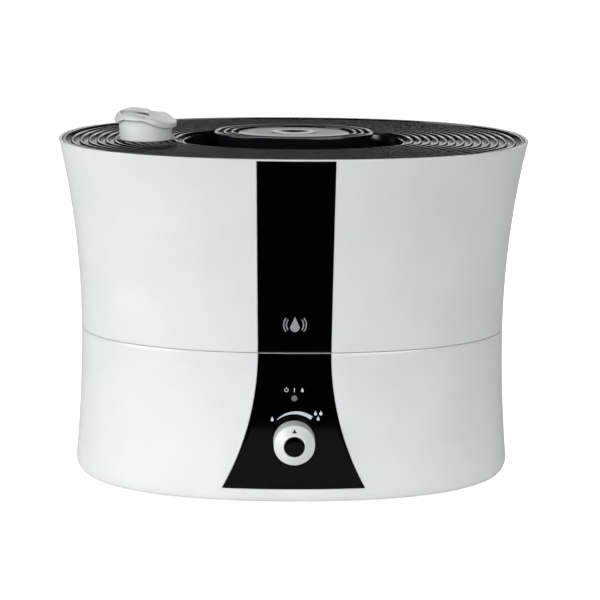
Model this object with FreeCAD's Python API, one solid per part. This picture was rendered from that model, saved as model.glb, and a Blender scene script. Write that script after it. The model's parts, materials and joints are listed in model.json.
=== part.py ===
import FreeCAD, Part
import math
import os

from FreeCAD import Vector

# Cool mist humidifier: an oval water tank with a front panel stands on a base that holds the
# electronics, the fan and the mist maker. Millimetres, +Z up, front towards -Y.

# ---- the body: every level is the same oval, a superellipse, pinched in at the waist ----
DEPTH_RATIO = 0.6235          # half depth over half width
OVAL_POWER = 2.25             # 2 is an ellipse, more is squarer
OVAL_POINTS = 40
TOP_HALF = 170.3              # half width at the tank's rim
WAIST_HALF = 155.1            # half width where the tank meets the base
BOTTOM_HALF = 160.0           # half width at the top of the rounded lip
LIP_INSET = 7.5               # how far the lip turns in
FOOT_HEIGHT = 3.0
LIP_HEIGHT = 10.0
BASE_HEIGHT = 108.5           # base, from its underside to the seam
TANK_HEIGHT = 138.3           # tank, from the seam to its rim
SEAM_GAP = 0.5
WALL = 2.8

BASE_BOTTOM = FOOT_HEIGHT
LIP_TOP = BASE_BOTTOM + LIP_HEIGHT
SEAM = BASE_BOTTOM + BASE_HEIGHT
BASE_TOP = SEAM - SEAM_GAP / 2
TANK_BOTTOM = SEAM + SEAM_GAP / 2
RIM = SEAM + TANK_HEIGHT

# ---- clearances and how pieces join ----
FIT_GAP = 0.3                 # between pieces that only sit together
GLUE_GAP = 0.3                # behind a panel that is stuck on
SHAFT_GAP = 0.05              # radial, where a shaft turns or slides
LIFT_GAP = 0.4                # between pieces that lift apart
ROOT = 0.6                    # how far a ledge, boss or rib runs into the wall it grows from
LEVELS = 9                    # ovals in a loft of the whole wall
LIP_LEVELS = 6                # ovals in a loft of the rounded lip
LIP_ROUND = 0.96              # share of the lip's quarter round that is used
PAST = 1.0                    # how far a cutting tool runs past the face it opens

# ---- the black front panel ----
PANEL_DEPTH = 0.8
PANEL_TOP_WIDTH = 54.6
PANEL_SEAM_WIDTH = 51.3
PANEL_BOTTOM_WIDTH = 101.7
PANEL_TOP_MARGIN = 1.3        # white rim left above the panel
PANEL_EDGE_GAP = 0.2
PRINT_HEIGHT = 0.12
SEAT_WALL = 1.07              # tank wall left beside the cover's seat at the sides
PANEL_BACKING = 0.6           # tank wall left between the panel and the cover's seat

# ---- generic marks printed on the panel ----
EMBLEM_Z = 132.0
EMBLEM_DROP = 3.4
EMBLEM_STROKE = 0.8
EMBLEM_WAVES = (5.6, 7.5)     # radii of the mist arcs beside the drop
EMBLEM_WAVE_REACH = 38.0      # degrees above and below the level
ICON_Z = 85.0
ICON_SIZE = 1.5
ICON_SPACING = 5.6
ICON_STROKE = 0.5
ICON_RING_TURNS = (125.0, 270.0, 415.0)    # the power ring's arc, open at the top
DROP_HEIGHT_RATIO = 2.2         # a drop's tip above its middle, in radii
PRINT_LEVELS = 4                # sections through the skin the print is cut from

# ---- the knob and what turns in it ----
KNOB_Z = 49.0
KNOB_RADIUS = 14.65
KNOB_SIDE = 13.0              # straight side
KNOB_NOSE = 5.2               # cone in front of the side
KNOB_CAP_RADIUS = 7.35
KNOB_CAP_DEPTH = 2.4
KNOB_OFF_PANEL = 0.8
KNOB_WALL = 2.0
KNOB_DRAFT = 0.25
KNOB_EDGE = 1.2               # chamfer between the side and the cone
KNOB_EYE_LAND = 0.9           # flat ring round the cap
KNOB_HUB = 6.5
KNOB_POINTER = 1.8            # half the pointer's width
KNOB_POINTER_RISE = 2.5
SHAFT_RADIUS = 3.0
SHAFT_FLAT = 0.55             # height of the shaft's flat, as a share of its radius
SHAFT_GRIP = 2.0              # how far the shaft stops short of the knob's shoulder
POT_RADIUS = 8.5
POT_DEPTH = 8.5
POT_BUSH_RADIUS = 4.5
POT_OFF_WALL = 5.0
LED_Z = 79.0
LED_LENS_RADIUS = 2.1
LED_RADIUS = 1.4
LED_LENS_SKIN = 1.6
LED_BASE_RADIUS = 2.6
LED_BASE_LENGTH = 6.0

# ---- the dial print: a crescent between one drop and three drops ----
CRESCENT_GAP = 3.95           # between the knob and the crescent
CRESCENT_FROM = 130.0         # degrees, anticlockwise from the right
CRESCENT_TO = 52.0
CRESCENT_THICK = 2.6
CRESCENT_TAIL = 0.15          # thickness of the thin end, as a share
CRESCENT_MIDDLE = 0.75        # thickness half way, as a share
DROP_SIZE = 1.1
DROP_TURN = 7.0               # degrees from the crescent's ends to the drops
DROP_REACH = 2.6
DROP_SPREAD = 1.9

# ---- the water tray in the base ----
TRAY_HALF = 140.0
TRAY_DEPTH_HALF = 70.0
TRAY_Y = 6.0
TRAY_WALL = 2.5
TRAY_FLOOR_THICK = 3.0
TRAY_DEPTH = 40.0
FLANGE_THICK = 2.5
FLANGE_BELOW_SEAM = 5.0
LEDGE_WIDTH = 4.0
LEDGE_THICK = 3.0
POST_RADIUS = 4.0
POST_END_INSET = 5.7          # from the wall's inside to the middle of an end post
POST_SIDE_X = 58.0
POST_SIDE_INSET = 12.9        # the same for the four side posts, at the oval's widest
SCREW_RADIUS = 1.4
SCREW_BORE = 1.5
SCREW_HEAD_RADIUS = 3.0
SCREW_HEAD = 1.45
SCREW_LENGTH = 16.0
SCREW_SLOT = 0.8

# ---- the bottom plate and feet ----
PLATE_THICK = 2.5
FOOT_RADIUS = 6.0
FOOT_X = 83.5
FOOT_Y = 64.5
FOOT_STUD_RADIUS = 2.5
FOOT_TAPER = 0.6
FOOT_BARB = 1.8
STANDOFF_RADIUS = 3.0
PLATE_GAP = 0.5               # between the plate and the wall round it
GRILLE_SLOTS = 7
GRILLE_SLOT_WIDTH = 3.0
GRILLE_PITCH = 6.0

# ---- the fan and its duct ----
FAN_X = -40.0
FAN_Y = 8.0
FAN_SIZE = 50.0
FAN_THICK = 15.0
FAN_Z = 20.0
FAN_BORE = 23.5
FAN_TIP = 22.4
FAN_HUB = 11.0
FAN_BLADES = 7
FAN_SHAFT = 1.5
FAN_SCREW_SPOT = 20.5
FAN_CORNER = 3.0
FAN_STRUT = 1.5
FAN_STATOR_RADIUS = 8.0
FAN_STATOR_HEIGHT = 8.0
FAN_POLES = 6
FAN_POLE_SLOT = 1.6
FAN_HUB_WALL = 1.4
FAN_BLADE_THICK = 1.4
FAN_BLADE_CHORD = 14.0
FAN_BLADE_PITCH = 48.0        # degrees
FAN_SIDE_GAP = 3.0            # rotor above the frame's underside
FAN_SCREW_HEAD_RADIUS = 2.6
FAN_SCREW_HEAD = 1.6
DUCT_RADIUS = 12.0
DUCT_WALL = 2.0
DUCT_FLANGE = 2.0
DUCT_STRAIGHT = 4.0
STANDPIPE_BELOW_FLANGE = 8.0

# ---- the mist maker ----
MIST_X = -107.6
MIST_WELL_RADIUS = 9.0
DISC_RADIUS = 10.0
DISC_THICK = 1.2
SEAL_RADIUS = 12.5
SEAL_THICK = 4.0
RETAINER_RADIUS = 18.0
RETAINER_THICK = 1.5
RETAINER_SCREW_SPOT = 15.2
MIST_SCREW_RADIUS = 1.0
MIST_SCREW_HEAD_RADIUS = 2.2
MIST_SCREW_HEAD = 1.5
MIST_SCREW_GRIP = 2.2
MIST_RIM_WALL = 6.0
MIST_RIM_HEIGHT = 5.0
MIST_NOTCH = 4.0

# ---- the float that stops the mist maker when the tray is dry ----
FLOAT_X = 18.0
FLOAT_Y = 30.0
FLOAT_POST_RADIUS = 3.5
FLOAT_POST_BORE = 2.2
FLOAT_RADIUS = 11.0
FLOAT_HEIGHT = 12.0
FLOAT_TRAVEL = 10.0
FLOAT_SPARE = 5.0             # post above the float when it is full up
FLOAT_POST_HEIGHT = FLOAT_HEIGHT + FLOAT_TRAVEL + FLOAT_SPARE
MAGNET_RADIUS = 8.5
MAGNET_THICK = 3.0
FLOAT_WALL = 1.2
CLIP_THICK = 2.0
CLIP_RADIUS = 6.0
FLOAT_POST_ROOF = 3.0
REED_ABOVE_FLOOR = 16.0
REED_BELOW = 6.0
REED_COLLAR = 1.5
REED_COLLAR_HEIGHT = 3.0

# ---- boards ----
BOARD_THICK = 1.6
DRIVER_X = -105.0
DRIVER_SIZE = (46.0, 50.0)
POWER_X = 82.0
POWER_SIZE = (84.0, 58.0)
BOARD_Z = 19.0
CONTROL_WIDTH = 44.0
CONTROL_BOTTOM = 33.0
CONTROL_TOP = 88.0
BOARD_SCREW_INSET = 4.0
BOARD_HOLE = 1.4
HEATSINK_SIZE = (32.0, 30.0, 3.0)
HEATSINK_FINS = 6
HEATSINK_FIN = (1.6, 18.0)    # thickness and top above the board
TRANSFORMER_SPOT = (-20.0, -4.0)
CORE_SIZE = (28.0, 24.0, 24.0)
CORE_FRAME = 6.0
BOBBIN_LENGTH = 32.0
BOBBIN_FOOT = 2.0
CAPACITORS = ((14.0, 12.0, 9.0, 26.0), (30.0, -12.0, 6.0, 20.0))    # x, y, radius, height

# ---- the tank ----
TANK_FLOOR_ABOVE_SEAM = 7.0
TANK_FLOOR_THICK = 3.0
SKIRT_HALF = 133.0
SKIRT_DEPTH_HALF = 63.0
SKIRT_WALL = 2.0
SKIRT_DROP = 19.0
FLOOR_LEDGE = 2.5             # shoulder on the tank's wall that the floor sits on
MIST_TUBE_OVER_STEM = 1.0     # how much wider the mist tube is than the nozzle's stem
MIST_TUBE_WALL = 2.0
MIST_TUBE_DROP = 7.0

# ---- the valve in the tank's floor ----
VALVE_X = 72.0
VALVE_Y = 6.0
VALVE_HOLE = 15.0
VALVE_COLLAR_WALL = 2.5
VALVE_COLLAR_DROP = 10.0
VALVE_PORT = 6.5
VALVE_STEM = 2.0
VALVE_HUB = 3.6
VALVE_LIFT = 5.0
VALVE_SEAL_RADIUS = 8.5
VALVE_SEAL_THICK = 2.0
VALVE_FOOT = 4.0
VALVE_FOOT_THICK = 1.6
VALVE_PIN = 3.0
VALVE_SEAT_ABOVE_COLLAR = 5.0
VALVE_STROKE_ROOM = 21.0      # from the plunger's foot to the seat
VALVE_FLANGE = 3.0
VALVE_SPOKE = 1.6
VALVE_HEAD = 2.0
SPRING_COIL = 2.9
SPRING_WIRE = 0.35
SPRING_TURNS = 5

# ---- the ridged top cover ----
COVER_GAP = 0.3               # between the cover's edge and its seat in the tank
COVER_BAND = 2.5              # flat band round the cover's edge
RIDGE_PITCH = 6.2
RIDGE_WIDTH = 2.8
RIDGE_FROM_EDGE = 7.3         # from the cover's edge to the outermost ridge's middle
RIDGE_FROM_WELL = 5.0         # least distance from the well to the innermost ridge's middle
RIDGE_BELOW_RIM = 0.9
GROOVE_DEPTH = 2.5
COVER_THICK = 5.4
GASKET_THICK = 1.2
GASKET_INSET = 1.0
GASKET_WIDTH = 3.0
WELL_HALF = 79.5              # half width of the oval filling well
WELL_DEPTH = 12.0
WELL_WALL = 2.0
WELL_SLOT = 9.0               # width of the drain slots in the well's floor
WELL_SLOT_GAP = 6.0           # from the grip's foot to the slots
WELL_BRIDGE = 14.0            # floor left between two slots
GRIP_TOP_HALF = 58.0
GRIP_FOOT_HALF = 51.5
GRIP_ABOVE_RIM = 4.6
GRIP_EDGE = 1.2
GRIP_EDGE_INSET = 0.7
GRIP_RING_PITCH = 5.4
GRIP_RINGS = 3
GRIP_RING_WIDTH = 2.8
GRIP_GROOVE_DEPTH = 1.6
GRIP_PLATEAU_DROP = 0.5
GRIP_DIMPLE = 15.0
GRIP_DIMPLE_FOOT = 6.8
GRIP_DIMPLE_DEPTH = 1.8
GRIP_WALL = 3.0
GRIP_ROOF = 4.5
GRIP_HUB = 4.0
GRIP_SCREW_X = 30.0
GRIP_SCREW_REACH = 8.0

# ---- the mist nozzle ----
STEM_RADIUS = 19.0
HEAD_OVERHANG = 3.6
HEAD_HIGH = 18.4              # top of the head's high side, above the rim
HEAD_LOW = 11.3               # top of its low side
HEAD_FALL_FROM = -8.0         # the top's S-shaped fall, from the nozzle's axis
HEAD_FALL_TO = 14.0
HEAD_BAND = 5.2               # height of the head's edge
HEAD_ROOF = 2.5
STEM_BELOW_RIM = 11.0
NOZZLE_WALL = 3.0
COLLAR_WALL = 3.0
COLLAR_LIP = 2.0
SOCKET_WALL = 2.4
SOCKET_FLOOR = 2.0
SOCKET_BELOW_COLLAR = 3.5
MOUTH_RIM = 2.2               # left between the mouth and the head's edge
MOUTH_END = -1.0              # the mouth's round end, from the nozzle's axis
MOUTH_WIDTH = 22.0

# ---- the cord's inlet at the rear ----
GLAND_Z = 24.0
GLAND_RADIUS = 6.0
GLAND_BORE = 3.75
GLAND_LENGTH = 9.0
GLAND_FLANGE = 8.0
GLAND_FLANGE_THICK = 2.0
GLAND_FLANGE_GAP = 0.6        # the wall curves away behind the flat flange
GLAND_PROUD = 3.0

# ---- levels worked out from the sizes above ----
FLANGE_TOP = SEAM - FLANGE_BELOW_SEAM
FLANGE_BOTTOM = FLANGE_TOP - FLANGE_THICK
TRAY_FLOOR = FLANGE_TOP - TRAY_DEPTH
TRAY_UNDER = TRAY_FLOOR - TRAY_FLOOR_THICK
TANK_FLOOR = SEAM + TANK_FLOOR_ABOVE_SEAM
TANK_FLOOR_TOP = TANK_FLOOR + TANK_FLOOR_THICK
RIDGE_TOP = RIM - RIDGE_BELOW_RIM
GROOVE_FLOOR = RIDGE_TOP - GROOVE_DEPTH
COVER_UNDER = RIM - COVER_THICK
WELL_FLOOR = RIDGE_TOP - WELL_DEPTH
LEDGE_TOP = COVER_UNDER - GASKET_THICK
FAN_TOP = FAN_Z + FAN_THICK
BOARD_TOP = BOARD_Z + BOARD_THICK
PLATE_TOP = BASE_BOTTOM + PLATE_THICK
CRESCENT_RADIUS = KNOB_RADIUS + CRESCENT_GAP
HEAD_RADIUS = STEM_RADIUS + HEAD_OVERHANG
NOZZLE_BORE = STEM_RADIUS - NOZZLE_WALL
COLLAR_RADIUS = STEM_RADIUS + COLLAR_WALL
MIST_TUBE_RADIUS = STEM_RADIUS + MIST_TUBE_OVER_STEM
FAR = 4 * TOP_HALF            # longer than the whole object


def body_half_width(z):
    """Half width of the body's outside at height z: one arc up to the rim, one down to the lip."""
    if z >= SEAM:
        reach, rise = TANK_HEIGHT, TOP_HALF - WAIST_HALF
    else:
        reach, rise = SEAM - LIP_TOP, BOTTOM_HALF - WAIST_HALF
    radius = (reach ** 2 + rise ** 2) / (2 * rise)
    half = WAIST_HALF + radius - math.sqrt(radius ** 2 - (z - SEAM) ** 2)
    if z < LIP_TOP:
        drop = min((LIP_TOP - z) / LIP_HEIGHT, 1.0)
        half = BOTTOM_HALF - LIP_INSET * (1 - math.sqrt(1 - drop ** 2 * LIP_ROUND))
    return half


# The cover drops into a straight-sided seat in the flaring rim, clear of the panel's recess.
SEAT_HALF = body_half_width(LEDGE_TOP) - SEAT_WALL
SEAT_FRONT = body_half_width(LEDGE_TOP) * DEPTH_RATIO - PANEL_DEPTH - GLUE_GAP - PANEL_BACKING
COVER_RATIO = SEAT_FRONT / SEAT_HALF
COVER_EDGE_HALF = SEAT_HALF - COVER_GAP
RIDGE_FIRST = COVER_EDGE_HALF - RIDGE_FROM_EDGE
RIDGES = int((RIDGE_FIRST - WELL_HALF - RIDGE_FROM_WELL) / RIDGE_PITCH) + 1


def front_y(z, inset=0.0):
    """The Y of the body's front at X = 0 and height z."""
    return -(body_half_width(z) * DEPTH_RATIO - inset)


def oval_wire(half_x, half_y, z, centre_y=0.0):
    points = []
    for step in range(OVAL_POINTS):
        angle = 2 * math.pi * step / OVAL_POINTS
        c, s = math.cos(angle), math.sin(angle)
        reach = (abs(c) ** OVAL_POWER + abs(s) ** OVAL_POWER) ** (-1 / OVAL_POWER)
        points.append(Vector(half_x * c * reach, centre_y + half_y * s * reach, z))
    curve = Part.BSplineCurve()
    curve.interpolate(points, PeriodicFlag=True)
    return Part.Wire([curve.toShape()])


def oval_plate(half_x, half_y, bottom, top, centre_y=0.0):
    face = Part.Face(oval_wire(half_x, half_y, bottom, centre_y))
    return face.extrude(Vector(0, 0, top - bottom))


def inset_plate(level, inset, bottom, top):
    """An oval plate whose edge lies inside the body's outside at one level by inset, all round."""
    half = body_half_width(level)
    return oval_plate(half - inset, half * DEPTH_RATIO - inset, bottom, top)


def cover_plate(half_x, bottom, top):
    """An oval plate of the cover's own proportions."""
    return oval_plate(half_x, half_x * COVER_RATIO, bottom, top)


def cover_ring(outer_half, inner_half, bottom, top):
    outer = cover_plate(outer_half, bottom, top)
    return outer.cut(cover_plate(inner_half, bottom - PAST, top + PAST))


def wall_ledge(level, width, top):
    """A ledge round the inside of the wall, with its root in the wall."""
    bottom = top - LEDGE_THICK
    ledge = inset_plate(level, WALL - ROOT, bottom, top)
    return ledge.cut(inset_plate(level, WALL + width, bottom - PAST, top + PAST))


def body_core(bottom, top, inset, levels):
    """The body's solid between two heights, its side moved in by inset."""
    wires = []
    for step in range(levels):
        z = bottom + (top - bottom) * step / (levels - 1)
        half = body_half_width(z)
        wires.append(oval_wire(half - inset, half * DEPTH_RATIO - inset, z))
    return Part.makeLoft(wires, True, False)


def cylinder(radius, bottom, top, x=0.0, y=0.0):
    return Part.makeCylinder(radius, top - bottom, Vector(x, y, bottom))


def tube(outer, inner, bottom, top, x=0.0, y=0.0):
    return cylinder(outer, bottom, top, x, y).cut(cylinder(inner, bottom - 1, top + 1, x, y))


def rod_y(radius, y_from, y_to, x, z):
    """A cylinder along Y between two planes."""
    low = min(y_from, y_to)
    return Part.makeCylinder(radius, abs(y_to - y_from), Vector(x, low, z), Vector(0, 1, 0))


def block(x0, x1, y0, y1, z0, z1):
    return Part.makeBox(x1 - x0, y1 - y0, z1 - z0, Vector(x0, y0, z0))


def fuse_all(shapes):
    result = shapes[0]
    if len(shapes) > 1:
        result = result.multiFuse(shapes[1:])
    return result


def revolve_profile(points, x=0.0, y=0.0):
    """A solid of revolution about the vertical through (x, y) from (radius, z) corners."""
    corners = [Vector(x + r, y, z) for r, z in points]
    face = Part.Face(Part.makePolygon(corners + [corners[0]]))
    return face.revolve(Vector(x, y, 0), Vector(0, 0, 1), 360)


# ---------------------------------------------------------------- front panel outline

def panel_half_width(z):
    """Half the panel's width: a straight taper above the seam, a flaring arc below it."""
    if z >= SEAM:
        share = (z - SEAM) / (RIM - SEAM)
        return (PANEL_SEAM_WIDTH + (PANEL_TOP_WIDTH - PANEL_SEAM_WIDTH) * share) / 2
    reach, flare = SEAM - LIP_TOP, (PANEL_BOTTOM_WIDTH - PANEL_SEAM_WIDTH) / 2
    radius = (reach ** 2 + flare ** 2) / (2 * flare)
    return PANEL_SEAM_WIDTH / 2 + radius - math.sqrt(radius ** 2 - (SEAM - z) ** 2)


def panel_prism(bottom, top, grow):
    """The panel's outline between two heights, pushed through the front of the body."""
    low, high, middle = bottom - grow, top + grow, (bottom + top) / 2
    left = [Vector(-panel_half_width(z) - grow, -FAR, z) for z in (low, middle, high)]
    right = [Vector(-p.x, -FAR, p.z) for p in left]
    if high > SEAM + 1:
        sides = [Part.LineSegment(left[0], left[2]), Part.LineSegment(right[2], right[0])]
    else:
        sides = [Part.Arc(*left), Part.Arc(*reversed(right))]
    ends = [Part.LineSegment(left[2], right[2]), Part.LineSegment(right[0], left[0])]
    wire = Part.Wire([sides[0].toShape(), ends[0].toShape(), sides[1].toShape(), ends[1].toShape()])
    return Part.Face(wire).extrude(Vector(0, FAR, 0))


# ---------------------------------------------------------------- base: shell, panel, plate

LOWER_PANEL_BOTTOM = LIP_TOP + PANEL_EDGE_GAP
LOWER_PANEL_TOP = BASE_TOP - PANEL_EDGE_GAP


def base_solid(inset, extra=0.0):
    wall = body_core(LIP_TOP, BASE_TOP + extra, inset, LEVELS)
    lip = body_core(BASE_BOTTOM - extra, LIP_TOP, inset, LIP_LEVELS)
    return wall.fuse(lip)


def base_shell():
    shell = base_solid(0).cut(base_solid(WALL, PAST))
    recess = panel_prism(LOWER_PANEL_BOTTOM, LOWER_PANEL_TOP, PANEL_EDGE_GAP)
    recess = recess.cut(body_core(LIP_TOP, BASE_TOP + PAST, PANEL_DEPTH + GLUE_GAP, LEVELS))
    ledge = wall_ledge(FLANGE_BOTTOM, LEDGE_WIDTH, FLANGE_BOTTOM)
    for x, y in post_spots():
        ledge = ledge.cut(cylinder(POST_RADIUS + LIFT_GAP, 0, RIM, x, y))
    shell = shell.cut(recess).fuse(ledge)
    shell = shell.cut(rod_y(POT_BUSH_RADIUS + FIT_GAP, -FAR, 0, 0, KNOB_Z))
    shell = shell.cut(rod_y(LED_LENS_RADIUS + FIT_GAP, -FAR, 0, 0, LED_Z))
    return shell.cut(rod_y(GLAND_RADIUS + SHAFT_GAP, 0, FAR, 0, GLAND_Z))


def lower_panel():
    skin = panel_prism(LOWER_PANEL_BOTTOM, LOWER_PANEL_TOP, 0).common(base_solid(0))
    skin = skin.cut(body_core(LIP_TOP, BASE_TOP + PAST, PANEL_DEPTH, LEVELS))
    skin = skin.cut(rod_y(POT_BUSH_RADIUS + FIT_GAP, -FAR, 0, 0, KNOB_Z))
    return skin.cut(rod_y(LED_LENS_RADIUS + SHAFT_GAP, -FAR, 0, 0, LED_Z))


def led_lens():
    inner_y = front_y(LED_Z, WALL + LED_LENS_SKIN)
    lens = rod_y(LED_LENS_RADIUS, front_y(LED_Z) - PRINT_HEIGHT, inner_y, 0, LED_Z)
    return lens.cut(rod_y(LED_RADIUS + SHAFT_GAP, front_y(LED_Z, LED_LENS_SKIN), 0, 0, LED_Z))


def inside_y(level, x):
    """Half the depth between the walls at x and a level."""
    half = body_half_width(level) - WALL
    depth = body_half_width(level) * DEPTH_RATIO - WALL
    return depth * (1 - (abs(x) / half) ** OVAL_POWER) ** (1 / OVAL_POWER)


def post_spots():
    """The six screw posts under the tray's flange: one at each end and two along each side."""
    end_x = body_half_width(FLANGE_BOTTOM) - WALL - POST_END_INSET
    side_y = inside_y(FLANGE_BOTTOM, 0) - POST_SIDE_INSET
    spots = [(end_x, 0.0), (-end_x, 0.0)]
    return spots + [(sx * POST_SIDE_X, sy * side_y) for sx in (-1, 1) for sy in (-1, 1)]


def bottom_plate():
    plate = inset_plate(BASE_BOTTOM, WALL + PLATE_GAP, BASE_BOTTOM, PLATE_TOP)
    standoffs = [cylinder(STANDOFF_RADIUS, PLATE_TOP - ROOT, BOARD_Z, x, y) for x, y in board_spots()]
    plate = plate.multiFuse(standoffs)
    holes = []
    for index in range(GRILLE_SLOTS):
        offset = (index - (GRILLE_SLOTS - 1) / 2) * GRILLE_PITCH
        y = FAN_Y + offset
        half_slot = math.sqrt(FAN_BORE ** 2 - offset ** 2) - PAST
        holes.append(block(FAN_X - half_slot, FAN_X + half_slot,
                           y - GRILLE_SLOT_WIDTH / 2, y + GRILLE_SLOT_WIDTH / 2, 0, PLATE_TOP + PAST))
    for x, y in foot_spots():
        holes.append(cylinder(FOOT_STUD_RADIUS + SHAFT_GAP, 0, PLATE_TOP + PAST, x, y))
    for x, y in post_spots():
        holes.append(cylinder(SCREW_RADIUS + FIT_GAP, 0, PLATE_TOP + PAST, x, y))
        holes.append(cylinder(SCREW_HEAD_RADIUS + FIT_GAP, 0, BASE_BOTTOM + SCREW_HEAD + SHAFT_GAP, x, y))
    return plate.cut(Part.makeCompound(holes))


def foot_spots():
    return [(sx * FOOT_X, sy * FOOT_Y) for sx in (-1, 1) for sy in (-1, 1)]


def rubber_feet():
    """Feet whose studs are pushed through the plate and held by a barb."""
    feet = []
    for x, y in foot_spots():
        pad = Part.makeCone(FOOT_RADIUS - FOOT_TAPER, FOOT_RADIUS, BASE_BOTTOM, Vector(x, y, 0))
        stud = cylinder(FOOT_STUD_RADIUS, BASE_BOTTOM - ROOT, PLATE_TOP + ROOT, x, y)
        barb = Part.makeCone(FOOT_STUD_RADIUS + FOOT_TAPER, FOOT_STUD_RADIUS - FOOT_TAPER, FOOT_BARB,
                             Vector(x, y, PLATE_TOP + SHAFT_GAP))
        feet.append(pad.fuse(stud).fuse(barb))
    return Part.makeCompound(feet)


def base_screws():
    screws = []
    slot_top = BASE_BOTTOM + SCREW_SLOT
    for x, y in post_spots():
        head = cylinder(SCREW_HEAD_RADIUS, BASE_BOTTOM, BASE_BOTTOM + SCREW_HEAD, x, y)
        shank = cylinder(SCREW_RADIUS, BASE_BOTTOM + ROOT, BASE_BOTTOM + SCREW_LENGTH, x, y)
        cross = []
        reach = SCREW_HEAD_RADIUS - PAST
        for half_x, half_y in ((reach, SCREW_SLOT / 2), (SCREW_SLOT / 2, reach)):
            cross.append(block(x - half_x, x + half_x, y - half_y, y + half_y, 0, slot_top))
        screws.append(head.fuse(shank).cut(fuse_all(cross)))
    return Part.makeCompound(screws)


# ---------------------------------------------------------------- marks printed on the panels

def drop_outline(x, z, size):
    """A water drop standing on a round base, seen from the front."""
    left = Vector(x - size, -FAR, z)
    right = Vector(x + size, -FAR, z)
    tip = Vector(x, -FAR, z + size * DROP_HEIGHT_RATIO)
    bowl = Part.Arc(left, Vector(x, -FAR, z - size), right)
    sides = [Part.LineSegment(right, tip), Part.LineSegment(tip, left)]
    return Part.Wire([bowl.toShape()] + [side.toShape() for side in sides])


def arc_band(x, z, inner, thicknesses, turns):
    """A band between two arcs about (x, z), with its thickness and angle given at start, middle and end."""
    def at(turn, radius):
        angle = math.radians(turn)
        return Vector(x + radius * math.cos(angle), -FAR, z + radius * math.sin(angle))
    outer_points = [at(turn, inner + thick) for turn, thick in zip(turns, thicknesses)]
    inner_points = [at(turn, inner) for turn in turns]
    edges = [Part.Arc(*outer_points), Part.LineSegment(outer_points[2], inner_points[2]),
             Part.Arc(*reversed(inner_points)), Part.LineSegment(inner_points[0], outer_points[0])]
    return Part.Wire([edge.toShape() for edge in edges])


def bar_outline(x, half_width, bottom, top):
    corners = [Vector(x - half_width, -FAR, bottom), Vector(x + half_width, -FAR, bottom),
               Vector(x + half_width, -FAR, top), Vector(x - half_width, -FAR, top)]
    return Part.makePolygon(corners + [corners[0]])


def dial_marks():
    """The dial's crescent, swelling to the right, one drop at low and three at high."""
    turns = (CRESCENT_FROM, (CRESCENT_FROM + CRESCENT_TO) / 2, CRESCENT_TO)
    shares = (CRESCENT_TAIL, CRESCENT_MIDDLE, 1.0)
    marks = [arc_band(0, KNOB_Z, CRESCENT_RADIUS, [CRESCENT_THICK * share for share in shares], turns)]
    reach = CRESCENT_RADIUS + DROP_REACH
    low_turn = math.radians(CRESCENT_FROM + DROP_TURN)
    high_turn = math.radians(CRESCENT_TO - DROP_TURN)
    marks.append(drop_outline(reach * math.cos(low_turn), KNOB_Z + reach * math.sin(low_turn), DROP_SIZE))
    high_x, high_z = reach * math.cos(high_turn) + DROP_SPREAD, KNOB_Z + reach * math.sin(high_turn)
    for dx, dz in ((-DROP_SPREAD, 2 * DROP_SPREAD), (DROP_SPREAD, 2 * DROP_SPREAD), (0.0, 0.0)):
        marks.append(drop_outline(high_x + dx, high_z + dz, DROP_SIZE))
    return marks


def icon_marks():
    """Over the lamp: a broken ring with a bar for power, a dividing stroke, and a drop for refill."""
    inner = ICON_SIZE - ICON_STROKE
    stem_bottom = ICON_Z + ICON_STROKE
    ring = arc_band(-ICON_SPACING, ICON_Z, inner, (ICON_STROKE,) * 3, ICON_RING_TURNS)
    stem = bar_outline(-ICON_SPACING, ICON_STROKE / 2, stem_bottom, stem_bottom + ICON_SIZE)
    divider = bar_outline(0.0, ICON_STROKE / 2, ICON_Z - ICON_SIZE, ICON_Z + ICON_SIZE)
    return [ring, stem, divider, drop_outline(ICON_SPACING, ICON_Z - ICON_STROKE, inner)]


def emblem_marks():
    """A plain drop with two mist arcs on each side of it."""
    marks = [drop_outline(0.0, EMBLEM_Z - EMBLEM_DROP / 2, EMBLEM_DROP)]
    for radius in EMBLEM_WAVES:
        for facing in (0.0, 180.0):
            turns = (facing - EMBLEM_WAVE_REACH, facing, facing + EMBLEM_WAVE_REACH)
            marks.append(arc_band(0.0, EMBLEM_Z, radius, (EMBLEM_STROKE,) * 3, turns))
    return marks


def printed(outlines, bottom, top):
    """Ink on the body's front: each outline as a skin just proud of the panel."""
    panel_face = body_core(bottom - PAST, top + PAST, 0, PRINT_LEVELS)
    skin = body_core(bottom, top, -PRINT_HEIGHT, PRINT_LEVELS).cut(panel_face)
    marks = [Part.Face(wire).extrude(Vector(0, FAR, 0)).common(skin) for wire in outlines]
    return Part.makeCompound([solid for mark in marks for solid in mark.Solids])


def panel_print():
    return printed(dial_marks() + icon_marks(), KNOB_Z, LED_Z + 2 * (ICON_Z - LED_Z))


def emblem_print():
    reach = EMBLEM_WAVES[-1] + EMBLEM_STROKE + PAST
    return printed(emblem_marks(), EMBLEM_Z - reach, EMBLEM_Z + reach)


# ---------------------------------------------------------------- base: water tray

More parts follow.
